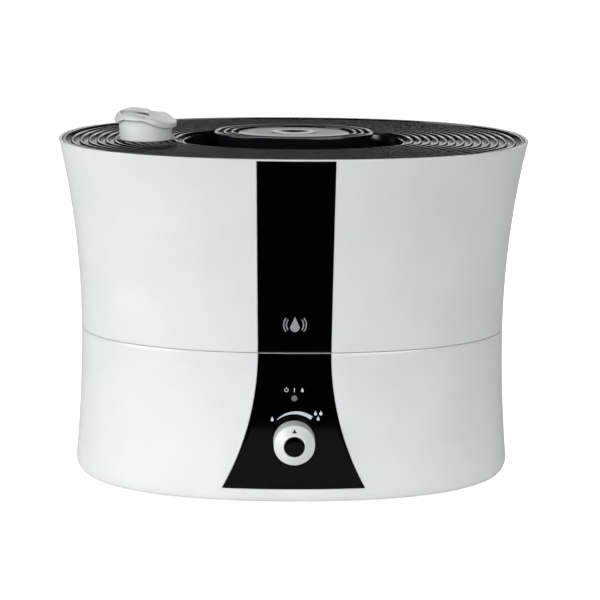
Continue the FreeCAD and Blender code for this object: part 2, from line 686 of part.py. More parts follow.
def water_tray():
    flange = inset_plate(FLANGE_BOTTOM, WALL + FIT_GAP, FLANGE_BOTTOM, FLANGE_TOP)
    basin = oval_plate(TRAY_HALF, TRAY_DEPTH_HALF, TRAY_UNDER, FLANGE_TOP, TRAY_Y)
    hollow = oval_plate(TRAY_HALF - TRAY_WALL, TRAY_DEPTH_HALF - TRAY_WALL, TRAY_FLOOR, RIM, TRAY_Y)
    post_bottom = PLATE_TOP + SHAFT_GAP
    posts = [cylinder(POST_RADIUS, post_bottom, FLANGE_BOTTOM + ROOT, x, y) for x, y in post_spots()]
    tray = flange.multiFuse([basin] + posts).cut(hollow)
    pipe_top = FLANGE_TOP - STANDPIPE_BELOW_FLANGE
    post_top = TRAY_FLOOR + FLOAT_POST_HEIGHT
    inside = [
        cylinder(DUCT_RADIUS + DUCT_WALL, TRAY_UNDER, pipe_top, FAN_X, FAN_Y),
        cylinder(FLOAT_POST_RADIUS, TRAY_UNDER, post_top, FLOAT_X, FLOAT_Y),
        cylinder(VALVE_PIN, TRAY_UNDER, valve_foot_z() - SHAFT_GAP, VALVE_X, VALVE_Y),
        cylinder(MIST_WELL_RADIUS + MIST_RIM_WALL, TRAY_UNDER, TRAY_FLOOR + MIST_RIM_HEIGHT, MIST_X),
    ]
    notch = MIST_WELL_RADIUS + MIST_RIM_WALL + PAST
    cuts = [
        cylinder(DUCT_RADIUS, 0, RIM, FAN_X, FAN_Y),
        cylinder(FLOAT_POST_BORE, 0, post_top - FLOAT_POST_ROOF, FLOAT_X, FLOAT_Y),
        cylinder(MIST_WELL_RADIUS, 0, RIM, MIST_X),
        block(MIST_X - MIST_NOTCH / 2, MIST_X + MIST_NOTCH / 2, -notch, notch, TRAY_FLOOR, RIM),
    ]
    for x, y in post_spots():
        cuts.append(cylinder(SCREW_BORE, 0, BASE_BOTTOM + SCREW_LENGTH + PAST, x, y))
    grip_end = TRAY_UNDER + MIST_SCREW_GRIP + SHAFT_GAP
    for x, y in retainer_spots():
        cuts.append(cylinder(MIST_SCREW_RADIUS + SHAFT_GAP, 0, grip_end, x, y))
    tray = tray.multiFuse(inside)
    for cut in cuts:
        tray = tray.cut(cut)
    return tray


# ---------------------------------------------------------------- base: mist maker

SEAL_BOTTOM = TRAY_UNDER - SEAL_THICK
DISC_BOTTOM = TRAY_UNDER - (SEAL_THICK + DISC_THICK) / 2
RETAINER_BOTTOM = SEAL_BOTTOM - RETAINER_THICK


def retainer_spots():
    turns = [math.radians(angle) for angle in (60, 180, 300)]
    return [(MIST_X + RETAINER_SCREW_SPOT * math.cos(t), RETAINER_SCREW_SPOT * math.sin(t)) for t in turns]


def transducer_seal():
    seal = tube(SEAL_RADIUS, MIST_WELL_RADIUS - PAST, SEAL_BOTTOM, TRAY_UNDER, MIST_X)
    return seal.cut(cylinder(DISC_RADIUS + SHAFT_GAP, DISC_BOTTOM, DISC_BOTTOM + DISC_THICK, MIST_X))


def transducer_disc():
    return cylinder(DISC_RADIUS, DISC_BOTTOM, DISC_BOTTOM + DISC_THICK, MIST_X)


def transducer_retainer():
    ring = tube(RETAINER_RADIUS, MIST_WELL_RADIUS - PAST, RETAINER_BOTTOM, SEAL_BOTTOM, MIST_X)
    for x, y in retainer_spots():
        ring = ring.cut(cylinder(MIST_SCREW_RADIUS + SHAFT_GAP, 0, RIM, x, y))
    return ring


def transducer_screws():
    screws = []
    for x, y in retainer_spots():
        head = cylinder(MIST_SCREW_HEAD_RADIUS, RETAINER_BOTTOM - MIST_SCREW_HEAD, RETAINER_BOTTOM, x, y)
        shank = cylinder(MIST_SCREW_RADIUS, RETAINER_BOTTOM - ROOT, TRAY_UNDER + MIST_SCREW_GRIP, x, y)
        screws.append(head.fuse(shank))
    return Part.makeCompound(screws)


# ---------------------------------------------------------------- base: fan

def fan_square(bottom, top):
    half = FAN_SIZE / 2
    square = block(FAN_X - half, FAN_X + half, FAN_Y - half, FAN_Y + half, bottom, top)
    corners = [edge for edge in square.Edges if abs(edge.BoundBox.ZLength - (top - bottom)) < SHAFT_GAP]
    return square.makeFillet(FAN_CORNER, corners)


def fan_screw_spots():
    return [(FAN_X + sx * FAN_SCREW_SPOT, FAN_Y + sy * FAN_SCREW_SPOT) for sx in (-1, 1) for sy in (-1, 1)]


def fan_bored(shape):
    """Takes out the fan's bore and its four screw holes."""
    shape = shape.cut(cylinder(FAN_BORE, 0, TRAY_UNDER, FAN_X, FAN_Y))
    for x, y in fan_screw_spots():
        shape = shape.cut(cylinder(SCREW_RADIUS + FIT_GAP, 0, RIM, x, y))
    return shape


def fan_frame():
    frame = fan_bored(fan_square(FAN_Z, FAN_TOP))
    struts = [cylinder(FAN_HUB - PAST, FAN_Z, FAN_Z + FAN_STRUT, FAN_X, FAN_Y)]
    for turn in range(4):
        arm = block(FAN_X, FAN_X + FAN_BORE + PAST, FAN_Y - FAN_STRUT, FAN_Y + FAN_STRUT,
                    FAN_Z, FAN_Z + FAN_STRUT)
        arm.rotate(Vector(FAN_X, FAN_Y, 0), Vector(0, 0, 1), 45 + turn * 90)
        struts.append(arm)
    return frame.multiFuse(struts)


def fan_motor():
    """The stator with its bearing bush, standing on the frame's struts."""
    bottom = FAN_Z + FAN_STRUT
    stator = tube(FAN_STATOR_RADIUS, FAN_SHAFT + SHAFT_GAP, bottom, bottom + FAN_STATOR_HEIGHT, FAN_X, FAN_Y)
    for turn in range(FAN_POLES):
        slot = block(FAN_X + FAN_STATOR_RADIUS / 2, FAN_X + FAN_STATOR_RADIUS + PAST,
                     FAN_Y - FAN_POLE_SLOT / 2, FAN_Y + FAN_POLE_SLOT / 2, bottom + PAST, FAN_TOP)
        slot.rotate(Vector(FAN_X, FAN_Y, 0), Vector(0, 0, 1), turn * 360 / FAN_POLES)
        stator = stator.cut(slot)
    return stator


def fan_rotor():
    bottom, top = FAN_Z + FAN_SIDE_GAP, FAN_TOP - FAN_SIDE_GAP / 2
    hub = cylinder(FAN_HUB, bottom, top, FAN_X, FAN_Y)
    hub = hub.cut(cylinder(FAN_HUB - FAN_HUB_WALL, 0, top - FAN_HUB_WALL, FAN_X, FAN_Y))
    hub = hub.fuse(cylinder(FAN_SHAFT, bottom, top - ROOT, FAN_X, FAN_Y))
    blades = []
    for index in range(FAN_BLADES):
        blade = block(FAN_HUB - ROOT, FAN_TIP, -FAN_BLADE_THICK / 2, FAN_BLADE_THICK / 2,
                      -FAN_BLADE_CHORD / 2, FAN_BLADE_CHORD / 2)
        blade.rotate(Vector(0, 0, 0), Vector(1, 0, 0), FAN_BLADE_PITCH)
        blade.translate(Vector(FAN_X, FAN_Y, (bottom + top) / 2))
        blade.rotate(Vector(FAN_X, FAN_Y, 0), Vector(0, 0, 1), index * 360 / FAN_BLADES)
        blades.append(blade)
    sweep = cylinder(FAN_TIP, bottom, top, FAN_X, FAN_Y)
    return hub.fuse(fuse_all(blades).common(sweep))


def air_duct():
    """A funnel from the fan up to the standpipe in the water tray, on a square flange."""
    top = TRAY_UNDER - SHAFT_GAP
    inner = [(DUCT_RADIUS, top), (DUCT_RADIUS, top - DUCT_STRAIGHT), (FAN_BORE, FAN_TOP + DUCT_STRAIGHT),
             (FAN_BORE, FAN_TOP)]
    outer = [(radius + DUCT_WALL, z) for radius, z in reversed(inner)]
    duct = revolve_profile(outer + inner, FAN_X, FAN_Y).fuse(fan_square(FAN_TOP, FAN_TOP + DUCT_FLANGE))
    return fan_bored(duct)


def fan_screws():
    screws = []
    for x, y in fan_screw_spots():
        head = cylinder(FAN_SCREW_HEAD_RADIUS, FAN_Z - FAN_SCREW_HEAD, FAN_Z, x, y)
        screws.append(head.fuse(cylinder(SCREW_RADIUS, FAN_Z - ROOT, FAN_TOP + DUCT_FLANGE + PAST, x, y)))
    return Part.makeCompound(screws)


# ---------------------------------------------------------------- base: float

FLOAT_BOTTOM = TRAY_FLOOR + SHAFT_GAP
FLOAT_BORE = FLOAT_POST_RADIUS + FIT_GAP
MAGNET_BORE = FLOAT_BORE + FLOAT_WALL


def float_ring():
    """The float; its magnet lies in a pocket in its underside."""
    ring = tube(FLOAT_RADIUS, FLOAT_BORE, FLOAT_BOTTOM, FLOAT_BOTTOM + FLOAT_HEIGHT, FLOAT_X, FLOAT_Y)
    pocket = tube(MAGNET_RADIUS + SHAFT_GAP, MAGNET_BORE - SHAFT_GAP,
                  FLOAT_BOTTOM - PAST, FLOAT_BOTTOM + MAGNET_THICK + SHAFT_GAP, FLOAT_X, FLOAT_Y)
    return ring.cut(pocket)


def float_magnet():
    return tube(MAGNET_RADIUS, MAGNET_BORE, FLOAT_BOTTOM, FLOAT_BOTTOM + MAGNET_THICK, FLOAT_X, FLOAT_Y)


def float_clip():
    """The clip on top of the post, which stops the float's rise."""
    top = TRAY_FLOOR + FLOAT_POST_HEIGHT
    cap = cylinder(CLIP_RADIUS, top, top + CLIP_THICK, FLOAT_X, FLOAT_Y)
    return cap.fuse(cylinder(FLOAT_POST_RADIUS - PAST, top, top + CLIP_THICK + PAST, FLOAT_X, FLOAT_Y))


def reed_switch():
    bottom = TRAY_UNDER - REED_BELOW
    body = cylinder(FLOAT_POST_BORE - LIFT_GAP, bottom, TRAY_FLOOR + REED_ABOVE_FLOOR, FLOAT_X, FLOAT_Y)
    collar_top = bottom + REED_COLLAR_HEIGHT
    return body.fuse(cylinder(FLOAT_POST_BORE + REED_COLLAR, bottom, collar_top, FLOAT_X, FLOAT_Y))


# ---------------------------------------------------------------- base: electronics

def board_spots():
    """Where the two flat boards stand on the bottom plate's posts."""
    spots = []
    for centre, size in ((DRIVER_X, DRIVER_SIZE), (POWER_X, POWER_SIZE)):
        for sx in (-1, 1):
            for sy in (-1, 1):
                spots.append((centre + sx * (size[0] / 2 - BOARD_SCREW_INSET),
                              sy * (size[1] / 2 - BOARD_SCREW_INSET)))
    return spots


def flat_board(centre, size):
    board = block(centre - size[0] / 2, centre + size[0] / 2, -size[1] / 2, size[1] / 2, BOARD_Z, BOARD_TOP)
    for x, y in board_spots():
        board = board.cut(cylinder(BOARD_HOLE, 0, RIM, x, y))
    return board


def driver_board():
    return flat_board(DRIVER_X, DRIVER_SIZE)


def power_board():
    return flat_board(POWER_X, POWER_SIZE)


def driver_heatsink():
    length, width, thick = HEATSINK_SIZE
    fin_thick, fin_top = HEATSINK_FIN
    base = block(DRIVER_X - length / 2, DRIVER_X + length / 2, -width / 2, width / 2,
                 BOARD_TOP, BOARD_TOP + thick)
    fins = []
    for index in range(HEATSINK_FINS):
        y = (width - fin_thick) * (index / (HEATSINK_FINS - 1) - 0.5)
        fins.append(block(DRIVER_X - length / 2, DRIVER_X + length / 2, y - fin_thick / 2, y + fin_thick / 2,
                          BOARD_TOP + thick - ROOT, BOARD_TOP + fin_top))
    return base.multiFuse(fins)


def transformer():
    """A framed core round a wound bobbin that stands on a foot."""
    x, y = POWER_X + TRANSFORMER_SPOT[0], TRANSFORMER_SPOT[1]
    length, width, height = CORE_SIZE
    half_bobbin = BOBBIN_LENGTH / 2
    core_bottom, core_top = BOARD_TOP + BOBBIN_FOOT, BOARD_TOP + BOBBIN_FOOT + height
    foot = block(x - length / 2, x + length / 2, y - half_bobbin, y + half_bobbin, BOARD_TOP, core_bottom)
    core = block(x - length / 2, x + length / 2, y - width / 2, y + width / 2, core_bottom, core_top)
    half_winding = length / 2 - CORE_FRAME
    winding = block(x - half_winding, x + half_winding, y - half_bobbin, y + half_bobbin,
                    core_bottom + CORE_FRAME, core_top - CORE_FRAME)
    return foot.multiFuse([core, winding])


def mains_capacitor():
    """A large and a small can on the power board."""
    cans = []
    for x, y, radius, height in CAPACITORS:
        cans.append(cylinder(radius, BOARD_TOP, BOARD_TOP + height, POWER_X + x, y))
    return Part.makeCompound(cans)


CONTROL_FACE = front_y(KNOB_Z, WALL) + POT_DEPTH + POT_OFF_WALL


def control_board():
    half = CONTROL_WIDTH / 2
    board = block(-half, half, CONTROL_FACE, CONTROL_FACE + BOARD_THICK, CONTROL_BOTTOM, CONTROL_TOP)
    return board.cut(rod_y(SHAFT_RADIUS + FIT_GAP, -FAR, FAR, 0, KNOB_Z))


def potentiometer():
    body = rod_y(POT_RADIUS, CONTROL_FACE, CONTROL_FACE - POT_DEPTH, 0, KNOB_Z)
    bush = rod_y(POT_BUSH_RADIUS, CONTROL_FACE - POT_DEPTH + PAST, front_y(KNOB_Z, FIT_GAP), 0, KNOB_Z)
    return body.fuse(bush).cut(rod_y(SHAFT_RADIUS + SHAFT_GAP, -FAR, FAR, 0, KNOB_Z))


def status_led():
    stem = rod_y(LED_RADIUS, CONTROL_FACE, front_y(LED_Z, LED_LENS_SKIN + FIT_GAP), 0, LED_Z)
    return stem.fuse(rod_y(LED_BASE_RADIUS, CONTROL_FACE, CONTROL_FACE - LED_BASE_LENGTH, 0, LED_Z))


def cord_gland():
    wall_y = -front_y(GLAND_Z)
    body = rod_y(GLAND_RADIUS, wall_y - GLAND_LENGTH + GLAND_PROUD, wall_y + GLAND_PROUD, 0, GLAND_Z)
    flange_y = wall_y + GLAND_FLANGE_GAP
    flange = rod_y(GLAND_FLANGE, flange_y, flange_y + GLAND_FLANGE_THICK, 0, GLAND_Z)
    return body.fuse(flange).cut(rod_y(GLAND_BORE, 0, FAR, 0, GLAND_Z))


# ---------------------------------------------------------------- knob

KNOB_BACK = front_y(KNOB_Z - KNOB_RADIUS) - KNOB_OFF_PANEL
KNOB_SHOULDER = KNOB_BACK - KNOB_SIDE
KNOB_FRONT = KNOB_SHOULDER - KNOB_NOSE
SHAFT_TIP = KNOB_SHOULDER + SHAFT_GRIP
KNOB_NOSE_PROFILE = [(KNOB_RADIUS - KNOB_DRAFT, KNOB_SHOULDER),
                     (KNOB_RADIUS - KNOB_EDGE, KNOB_SHOULDER - KNOB_EDGE),
                     (KNOB_CAP_RADIUS + KNOB_EYE_LAND, KNOB_FRONT)]


def turned_y(points):
    """A solid of revolution about the knob's axis from (radius, y) corners."""
    corners = [Vector(r, y, KNOB_Z) for r, y in points]
    face = Part.Face(Part.makePolygon(corners + [corners[0]]))
    return face.revolve(Vector(0, 0, KNOB_Z), Vector(0, 1, 0), 360)


def knob_nose(back, shrink):
    """The knob's chamfer and cone in front of a plane, with the whole nose moved back by shrink."""
    profile = [(radius, y + shrink) for radius, y in KNOB_NOSE_PROFILE]
    return turned_y([(0, back), (profile[0][0], back)] + profile + [(0, KNOB_FRONT + shrink)])


def knob_body():
    body = turned_y([(0, KNOB_BACK), (KNOB_RADIUS, KNOB_BACK)] + KNOB_NOSE_PROFILE + [(0, KNOB_FRONT)])
    roof = KNOB_SHOULDER + KNOB_WALL
    hollow = turned_y([(KNOB_HUB, KNOB_BACK + PAST), (KNOB_RADIUS - KNOB_WALL, KNOB_BACK + PAST),
                       (KNOB_RADIUS - KNOB_WALL, roof), (KNOB_HUB, roof)])
    cap_seat = rod_y(KNOB_CAP_RADIUS + SHAFT_GAP, KNOB_FRONT - PAST, KNOB_FRONT + KNOB_CAP_DEPTH, 0, KNOB_Z)
    bore = rod_y(SHAFT_RADIUS + SHAFT_GAP, KNOB_BACK + PAST, SHAFT_TIP, 0, KNOB_Z)
    return body.cut(hollow).cut(cap_seat).cut(bore).cut(pointer_prism(0.0).cut(knob_nose(KNOB_BACK, ROOT)))


def knob_cap():
    """The black disc in the knob's nose, with a chamfered edge."""
    face_y = KNOB_FRONT - 2 * SHAFT_GAP
    back_y = KNOB_FRONT + KNOB_CAP_DEPTH
    return turned_y([(0, back_y), (KNOB_CAP_RADIUS, back_y), (KNOB_CAP_RADIUS, KNOB_FRONT + FIT_GAP),
                     (KNOB_CAP_RADIUS - ROOT, face_y), (0, face_y)])


def pointer_prism(inset):
    """A small triangle at twelve o'clock, pushed through the knob's cone."""
    middle = KNOB_Z + (KNOB_CAP_RADIUS + KNOB_RADIUS) / 2
    half = KNOB_POINTER - inset
    low = middle - KNOB_POINTER_RISE / 2 + inset
    high = middle + KNOB_POINTER_RISE / 2 - inset
    corners = [Vector(-half, KNOB_FRONT - PAST, low), Vector(half, KNOB_FRONT - PAST, low),
               Vector(0, KNOB_FRONT - PAST, high)]
    return Part.Face(Part.makePolygon(corners + [corners[0]])).extrude(Vector(0, KNOB_NOSE + PAST, 0))


def knob_pointer():
    return pointer_prism(SHAFT_GAP).common(knob_nose(KNOB_BACK, 0.0)).cut(knob_nose(KNOB_BACK, ROOT))


def knob_shaft():
    shaft = rod_y(SHAFT_RADIUS, CONTROL_FACE + BOARD_THICK + PAST, SHAFT_TIP + SHAFT_GAP, 0, KNOB_Z)
    flat = block(-FAR, FAR, -FAR, KNOB_BACK, KNOB_Z + SHAFT_RADIUS * SHAFT_FLAT, FAR)
    return shaft.cut(flat)


# ---------------------------------------------------------------- tank

UPPER_PANEL_BOTTOM = TANK_BOTTOM + PANEL_EDGE_GAP
UPPER_PANEL_TOP = RIM - PANEL_TOP_MARGIN


def tank_shell():
    shell = body_core(TANK_BOTTOM, RIM, 0, LEVELS)
    shell = shell.cut(body_core(TANK_BOTTOM - PAST, LEDGE_TOP, WALL, LEVELS))
    shell = shell.cut(cover_plate(SEAT_HALF, LEDGE_TOP, RIM + PAST))
    shell = shell.fuse(wall_ledge(LEDGE_TOP - LEDGE_THICK, LEDGE_WIDTH, LEDGE_TOP))
    shell = shell.fuse(wall_ledge(TANK_FLOOR - LEDGE_THICK, FLOOR_LEDGE, TANK_FLOOR))
    recess = panel_prism(UPPER_PANEL_BOTTOM, UPPER_PANEL_TOP, PANEL_EDGE_GAP)
    recess = recess.cut(body_core(TANK_BOTTOM - PAST, RIM + PAST, PANEL_DEPTH + GLUE_GAP, LEVELS))
    return shell.cut(recess)


def upper_panel():
    skin = panel_prism(UPPER_PANEL_BOTTOM, UPPER_PANEL_TOP, 0).common(body_core(TANK_BOTTOM, RIM, 0, LEVELS))
    return skin.cut(body_core(TANK_BOTTOM - PAST, RIM + PAST, PANEL_DEPTH, LEVELS))


def tank_floor():
    """The tank's floor: it sits on a shoulder, and its skirt stands in the water tray."""
    floor = inset_plate(TANK_FLOOR, WALL + GLUE_GAP, TANK_FLOOR, TANK_FLOOR_TOP)
    skirt = oval_plate(SKIRT_HALF, SKIRT_DEPTH_HALF, TANK_FLOOR - SKIRT_DROP, TANK_FLOOR + ROOT, TRAY_Y)
    hollow = oval_plate(SKIRT_HALF - SKIRT_WALL, SKIRT_DEPTH_HALF - SKIRT_WALL, 0, TANK_FLOOR, TRAY_Y)
    collar = cylinder(VALVE_HOLE + VALVE_COLLAR_WALL, TANK_FLOOR - VALVE_COLLAR_DROP, TANK_FLOOR_TOP,
                      VALVE_X, VALVE_Y)
    floor = floor.fuse(skirt.cut(hollow)).fuse(collar)
    floor = floor.cut(cylinder(VALVE_HOLE, 0, FAR, VALVE_X, VALVE_Y))
    return floor.cut(cylinder(MIST_TUBE_RADIUS + SHAFT_GAP, TANK_FLOOR - PAST, FAR, MIST_X))


def mist_tube():
    bottom = TANK_FLOOR - MIST_TUBE_DROP
    top = SOCKET_BOTTOM + PAST
    return tube(MIST_TUBE_RADIUS, MIST_TUBE_RADIUS - MIST_TUBE_WALL, bottom, top, MIST_X)


# ---------------------------------------------------------------- tank: valve

COLLAR_FACE = TANK_FLOOR - VALVE_COLLAR_DROP
VALVE_SEAT = COLLAR_FACE + VALVE_SEAT_ABOVE_COLLAR
CAP_BOTTOM = COLLAR_FACE - VALVE_FLANGE


def valve_foot_z():
    """Underside of the plunger's foot with the tank on its base."""
    return VALVE_SEAT - VALVE_STROKE_ROOM


def valve_cap():
    """The cap screwed into the floor's collar: a flange, a plug with the port, and a spoked guide."""
    cap = cylinder(VALVE_HOLE - SHAFT_GAP, CAP_BOTTOM, VALVE_SEAT, VALVE_X, VALVE_Y)
    flange_radius = VALVE_HOLE + VALVE_COLLAR_WALL
    cap = cap.fuse(cylinder(flange_radius, CAP_BOTTOM, COLLAR_FACE - SHAFT_GAP, VALVE_X, VALVE_Y))
    cap = cap.cut(cylinder(VALVE_PORT, 0, FAR, VALVE_X, VALVE_Y))
    guide = [cylinder(VALVE_HUB, CAP_BOTTOM, VALVE_SEAT - PAST, VALVE_X, VALVE_Y)]
    for turn in range(3):
        spoke = block(VALVE_X, VALVE_X + VALVE_PORT + PAST,
                      VALVE_Y - VALVE_SPOKE / 2, VALVE_Y + VALVE_SPOKE / 2,
                      CAP_BOTTOM, VALVE_SEAT - PAST)
        spoke.rotate(Vector(VALVE_X, VALVE_Y, 0), Vector(0, 0, 1), turn * 120)
        guide.append(spoke)
    return cap.multiFuse(guide).cut(cylinder(VALVE_STEM + SHAFT_GAP, 0, FAR, VALVE_X, VALVE_Y))


def valve_plunger():
    """Foot, stem and head; the tray's pin holds it up, so the port stands open."""
    foot = valve_foot_z()
    head_bottom = VALVE_SEAT + VALVE_LIFT + VALVE_SEAL_THICK
    stem = cylinder(VALVE_STEM, foot, head_bottom + VALVE_HEAD, VALVE_X, VALVE_Y)
    head = cylinder(VALVE_SEAL_RADIUS - PAST, head_bottom, head_bottom + VALVE_HEAD, VALVE_X, VALVE_Y)
    return stem.fuse(cylinder(VALVE_FOOT, foot, foot + VALVE_FOOT_THICK, VALVE_X, VALVE_Y)).fuse(head)


def valve_seal():
    seat = VALVE_SEAT + VALVE_LIFT
    return tube(VALVE_SEAL_RADIUS, VALVE_STEM, seat + SHAFT_GAP, seat + VALVE_SEAL_THICK, VALVE_X, VALVE_Y)


def valve_spring():
    """A coil spring between the cap's guide and the plunger's foot."""
    clear = SPRING_WIRE + SHAFT_GAP
    bottom = valve_foot_z() + VALVE_FOOT_THICK + clear
    height = CAP_BOTTOM - clear - bottom
    helix = Part.makeHelix(height / SPRING_TURNS, height, SPRING_COIL)
    circle = Part.Wire([Part.makeCircle(SPRING_WIRE, Vector(SPRING_COIL, 0, 0), Vector(0, 1, 0))])
    spring = Part.Wire(helix.Edges).makePipeShell([circle], True, True)
    spring.translate(Vector(VALVE_X, VALVE_Y, bottom))
    return spring


# ---------------------------------------------------------------- top cover

COLLAR_BOTTOM = RIM - STEM_BELOW_RIM - COLLAR_LIP
SOCKET_BOTTOM = COLLAR_BOTTOM - SOCKET_BELOW_COLLAR
WELL_UNDER = WELL_FLOOR - WELL_WALL


def cover_profile():
    """Corners (half width, z) of the cover's section: well, plate, edge, ridges, and the well again."""
    band_half = COVER_EDGE_HALF - COVER_BAND
    corners = [(0, WELL_UNDER), (WELL_HALF + WELL_WALL, WELL_UNDER), (WELL_HALF + WELL_WALL, COVER_UNDER),
               (COVER_EDGE_HALF, COVER_UNDER), (COVER_EDGE_HALF, RIM), (band_half, RIM),
               (band_half, GROOVE_FLOOR)]
    for index in range(RIDGES):
        outer = RIDGE_FIRST - index * RIDGE_PITCH + RIDGE_WIDTH / 2
        inner = outer - RIDGE_WIDTH
        corners += [(outer, GROOVE_FLOOR), (outer, RIDGE_TOP), (inner, RIDGE_TOP), (inner, GROOVE_FLOOR)]
    return corners + [(WELL_HALF, GROOVE_FLOOR), (WELL_HALF, WELL_FLOOR), (0, WELL_FLOOR)]


def stepped_solid(corners):
    """A solid whose every level is the cover's oval, from upright and level steps of its section."""
    wires = {}
    for half, z in corners:
        if half:
            wires[half, z] = oval_wire(half, half * COVER_RATIO, z)
    faces = []
    for (half_a, z_a), (half_b, z_b) in zip(corners, corners[1:]):
        if half_a == half_b:
            faces += Part.makeLoft([wires[half_a, z_a], wires[half_b, z_b]], False, True).Faces
        else:
            rims = [wires[half, z_a] for half in sorted((half_a, half_b), reverse=True) if half]
            faces += Part.makeFace(rims, "Part::FaceMakerBullseye").Faces
    shell = Part.makeShell(faces)
    shell.sewShape()
    return Part.makeSolid(shell.Shells[0])


def top_cover():
    cover = stepped_solid(cover_profile())
    hole = COLLAR_RADIUS + LIFT_GAP
    socket = cylinder(hole + SOCKET_WALL, SOCKET_BOTTOM, COVER_UNDER + ROOT, MIST_X)
    socket = socket.cut(cylinder(hole, SOCKET_BOTTOM + SOCKET_FLOOR, RIM + PAST, MIST_X))
    socket = socket.cut(cylinder(MIST_TUBE_RADIUS + LIFT_GAP, 0, FAR, MIST_X))
    cover = cover.cut(cylinder(hole, 0, RIM + PAST, MIST_X)).fuse(socket)
    cuts = well_slots()
    for x in grip_screw_spots():
        cuts.append(cylinder(SCREW_RADIUS + FIT_GAP, 0, WELL_FLOOR + PAST, x))
    for cut in cuts:
        cover = cover.cut(cut)
    return cover


def well_slots():
    """Drain slots through the well's floor, in the gap around the grip."""
    inner = GRIP_FOOT_HALF + WELL_SLOT_GAP
    ring = cover_ring(inner + WELL_SLOT, inner, WELL_UNDER - PAST, WELL_FLOOR + PAST)
    bars = []
    for angle in (0, 90):
        bar = block(-FAR, FAR, -WELL_BRIDGE / 2, WELL_BRIDGE / 2, 0, FAR)
        bar.rotate(Vector(0, 0, 0), Vector(0, 0, 1), angle)
        bars.append(bar)
    return ring.cut(fuse_all(bars)).Solids


def cover_gasket():
    half = COVER_EDGE_HALF - GASKET_INSET
    return cover_ring(half, half - GASKET_WIDTH, LEDGE_TOP + SHAFT_GAP, COVER_UNDER - SHAFT_GAP)


def oval_loft(steps):
    """A straight-sided loft through ovals given as (half width, z)."""
    return Part.makeLoft([oval_wire(half, half * COVER_RATIO, z) for half, z in steps], True, True)


def grip_disc():
    """The island in the filling well that a hand takes the cover by: raised rings round a dished plateau."""
    top = RIM + GRIP_ABOVE_RIM
    foot = WELL_FLOOR + SHAFT_GAP
    grip = oval_loft([(GRIP_FOOT_HALF, foot), (GRIP_TOP_HALF, top - GRIP_EDGE)])
    grip = grip.fuse(oval_loft([(GRIP_TOP_HALF, top - GRIP_EDGE), (GRIP_TOP_HALF - GRIP_EDGE_INSET, top)]))
    for index in range(GRIP_RINGS):
        outer = GRIP_TOP_HALF - index * GRIP_RING_PITCH - GRIP_RING_WIDTH
        groove = outer - (GRIP_RING_PITCH - GRIP_RING_WIDTH)
        grip = grip.cut(cover_ring(outer, groove, top - GRIP_GROOVE_DEPTH, top + PAST))
    plateau = GRIP_TOP_HALF - GRIP_RINGS * GRIP_RING_PITCH
    grip = grip.cut(cover_plate(plateau + ROOT, top - GRIP_PLATEAU_DROP, top + PAST))
    dimple = oval_loft([(GRIP_DIMPLE, top - GRIP_PLATEAU_DROP + SHAFT_GAP),
                        (GRIP_DIMPLE_FOOT, top - GRIP_DIMPLE_DEPTH)])
    hollow = cover_plate(GRIP_FOOT_HALF - GRIP_WALL, 0, top - GRIP_ROOF)
    hubs = [cylinder(GRIP_HUB, foot, top - GRIP_ROOF + ROOT, x) for x in grip_screw_spots()]
    grip = grip.cut(dimple).cut(hollow).multiFuse(hubs)
    for x in grip_screw_spots():
        grip = grip.cut(cylinder(SCREW_BORE, 0, WELL_FLOOR + GRIP_SCREW_REACH + PAST, x))
    return grip


def grip_screw_spots():
    return (-GRIP_SCREW_X, GRIP_SCREW_X)


def grip_screws():
    screws = []
    for x in grip_screw_spots():
        head = cylinder(SCREW_HEAD_RADIUS, WELL_UNDER - SCREW_HEAD, WELL_UNDER, x)
        screws.append(head.fuse(cylinder(SCREW_RADIUS, WELL_UNDER - ROOT, WELL_FLOOR + GRIP_SCREW_REACH, x)))
    return Part.makeCompound(screws)


# ---------------------------------------------------------------- mist nozzle

def nozzle_collar():
    """The sleeve that the nozzle turns in: it sits in the cover's socket."""
    sleeve = cylinder(COLLAR_RADIUS, COLLAR_BOTTOM, RIDGE_TOP, MIST_X)
    seat = COLLAR_BOTTOM + COLLAR_LIP - SHAFT_GAP
    sleeve = sleeve.cut(cylinder(STEM_RADIUS + FIT_GAP, seat, FAR, MIST_X))
    return sleeve.cut(cylinder(NOZZLE_BORE, 0, FAR, MIST_X))


def falling_curve(drop):
    """The head's S-shaped fall from left to right, lowered by drop, from end to end."""
    reach = HEAD_RADIUS + PAST
    middle_x, middle_z = (HEAD_FALL_FROM + HEAD_FALL_TO) / 2, (HEAD_HIGH + HEAD_LOW) / 2
    steps = [(-reach, HEAD_HIGH), (HEAD_FALL_FROM, HEAD_HIGH - ROOT), (middle_x, middle_z),
             (HEAD_FALL_TO, HEAD_LOW + ROOT), (reach, HEAD_LOW)]
    curve = Part.BSplineCurve()
    curve.interpolate([Vector(MIST_X + x, -FAR, RIM + z - drop) for x, z in steps])
    return curve


def under_curve(drop, bottom):
    """Everything under the falling curve, down to a level."""
    edge = falling_curve(drop).toShape()
    left, right = edge.Vertexes[0].Point, edge.Vertexes[1].Point
    corners = [right, Vector(right.x, -FAR, bottom), Vector(left.x, -FAR, bottom), left]
    sides = [Part.makeLine(a, b) for a, b in zip(corners, corners[1:])]
    return Part.Face(Part.Wire([edge] + sides)).extrude(Vector(0, 2 * FAR, 0))


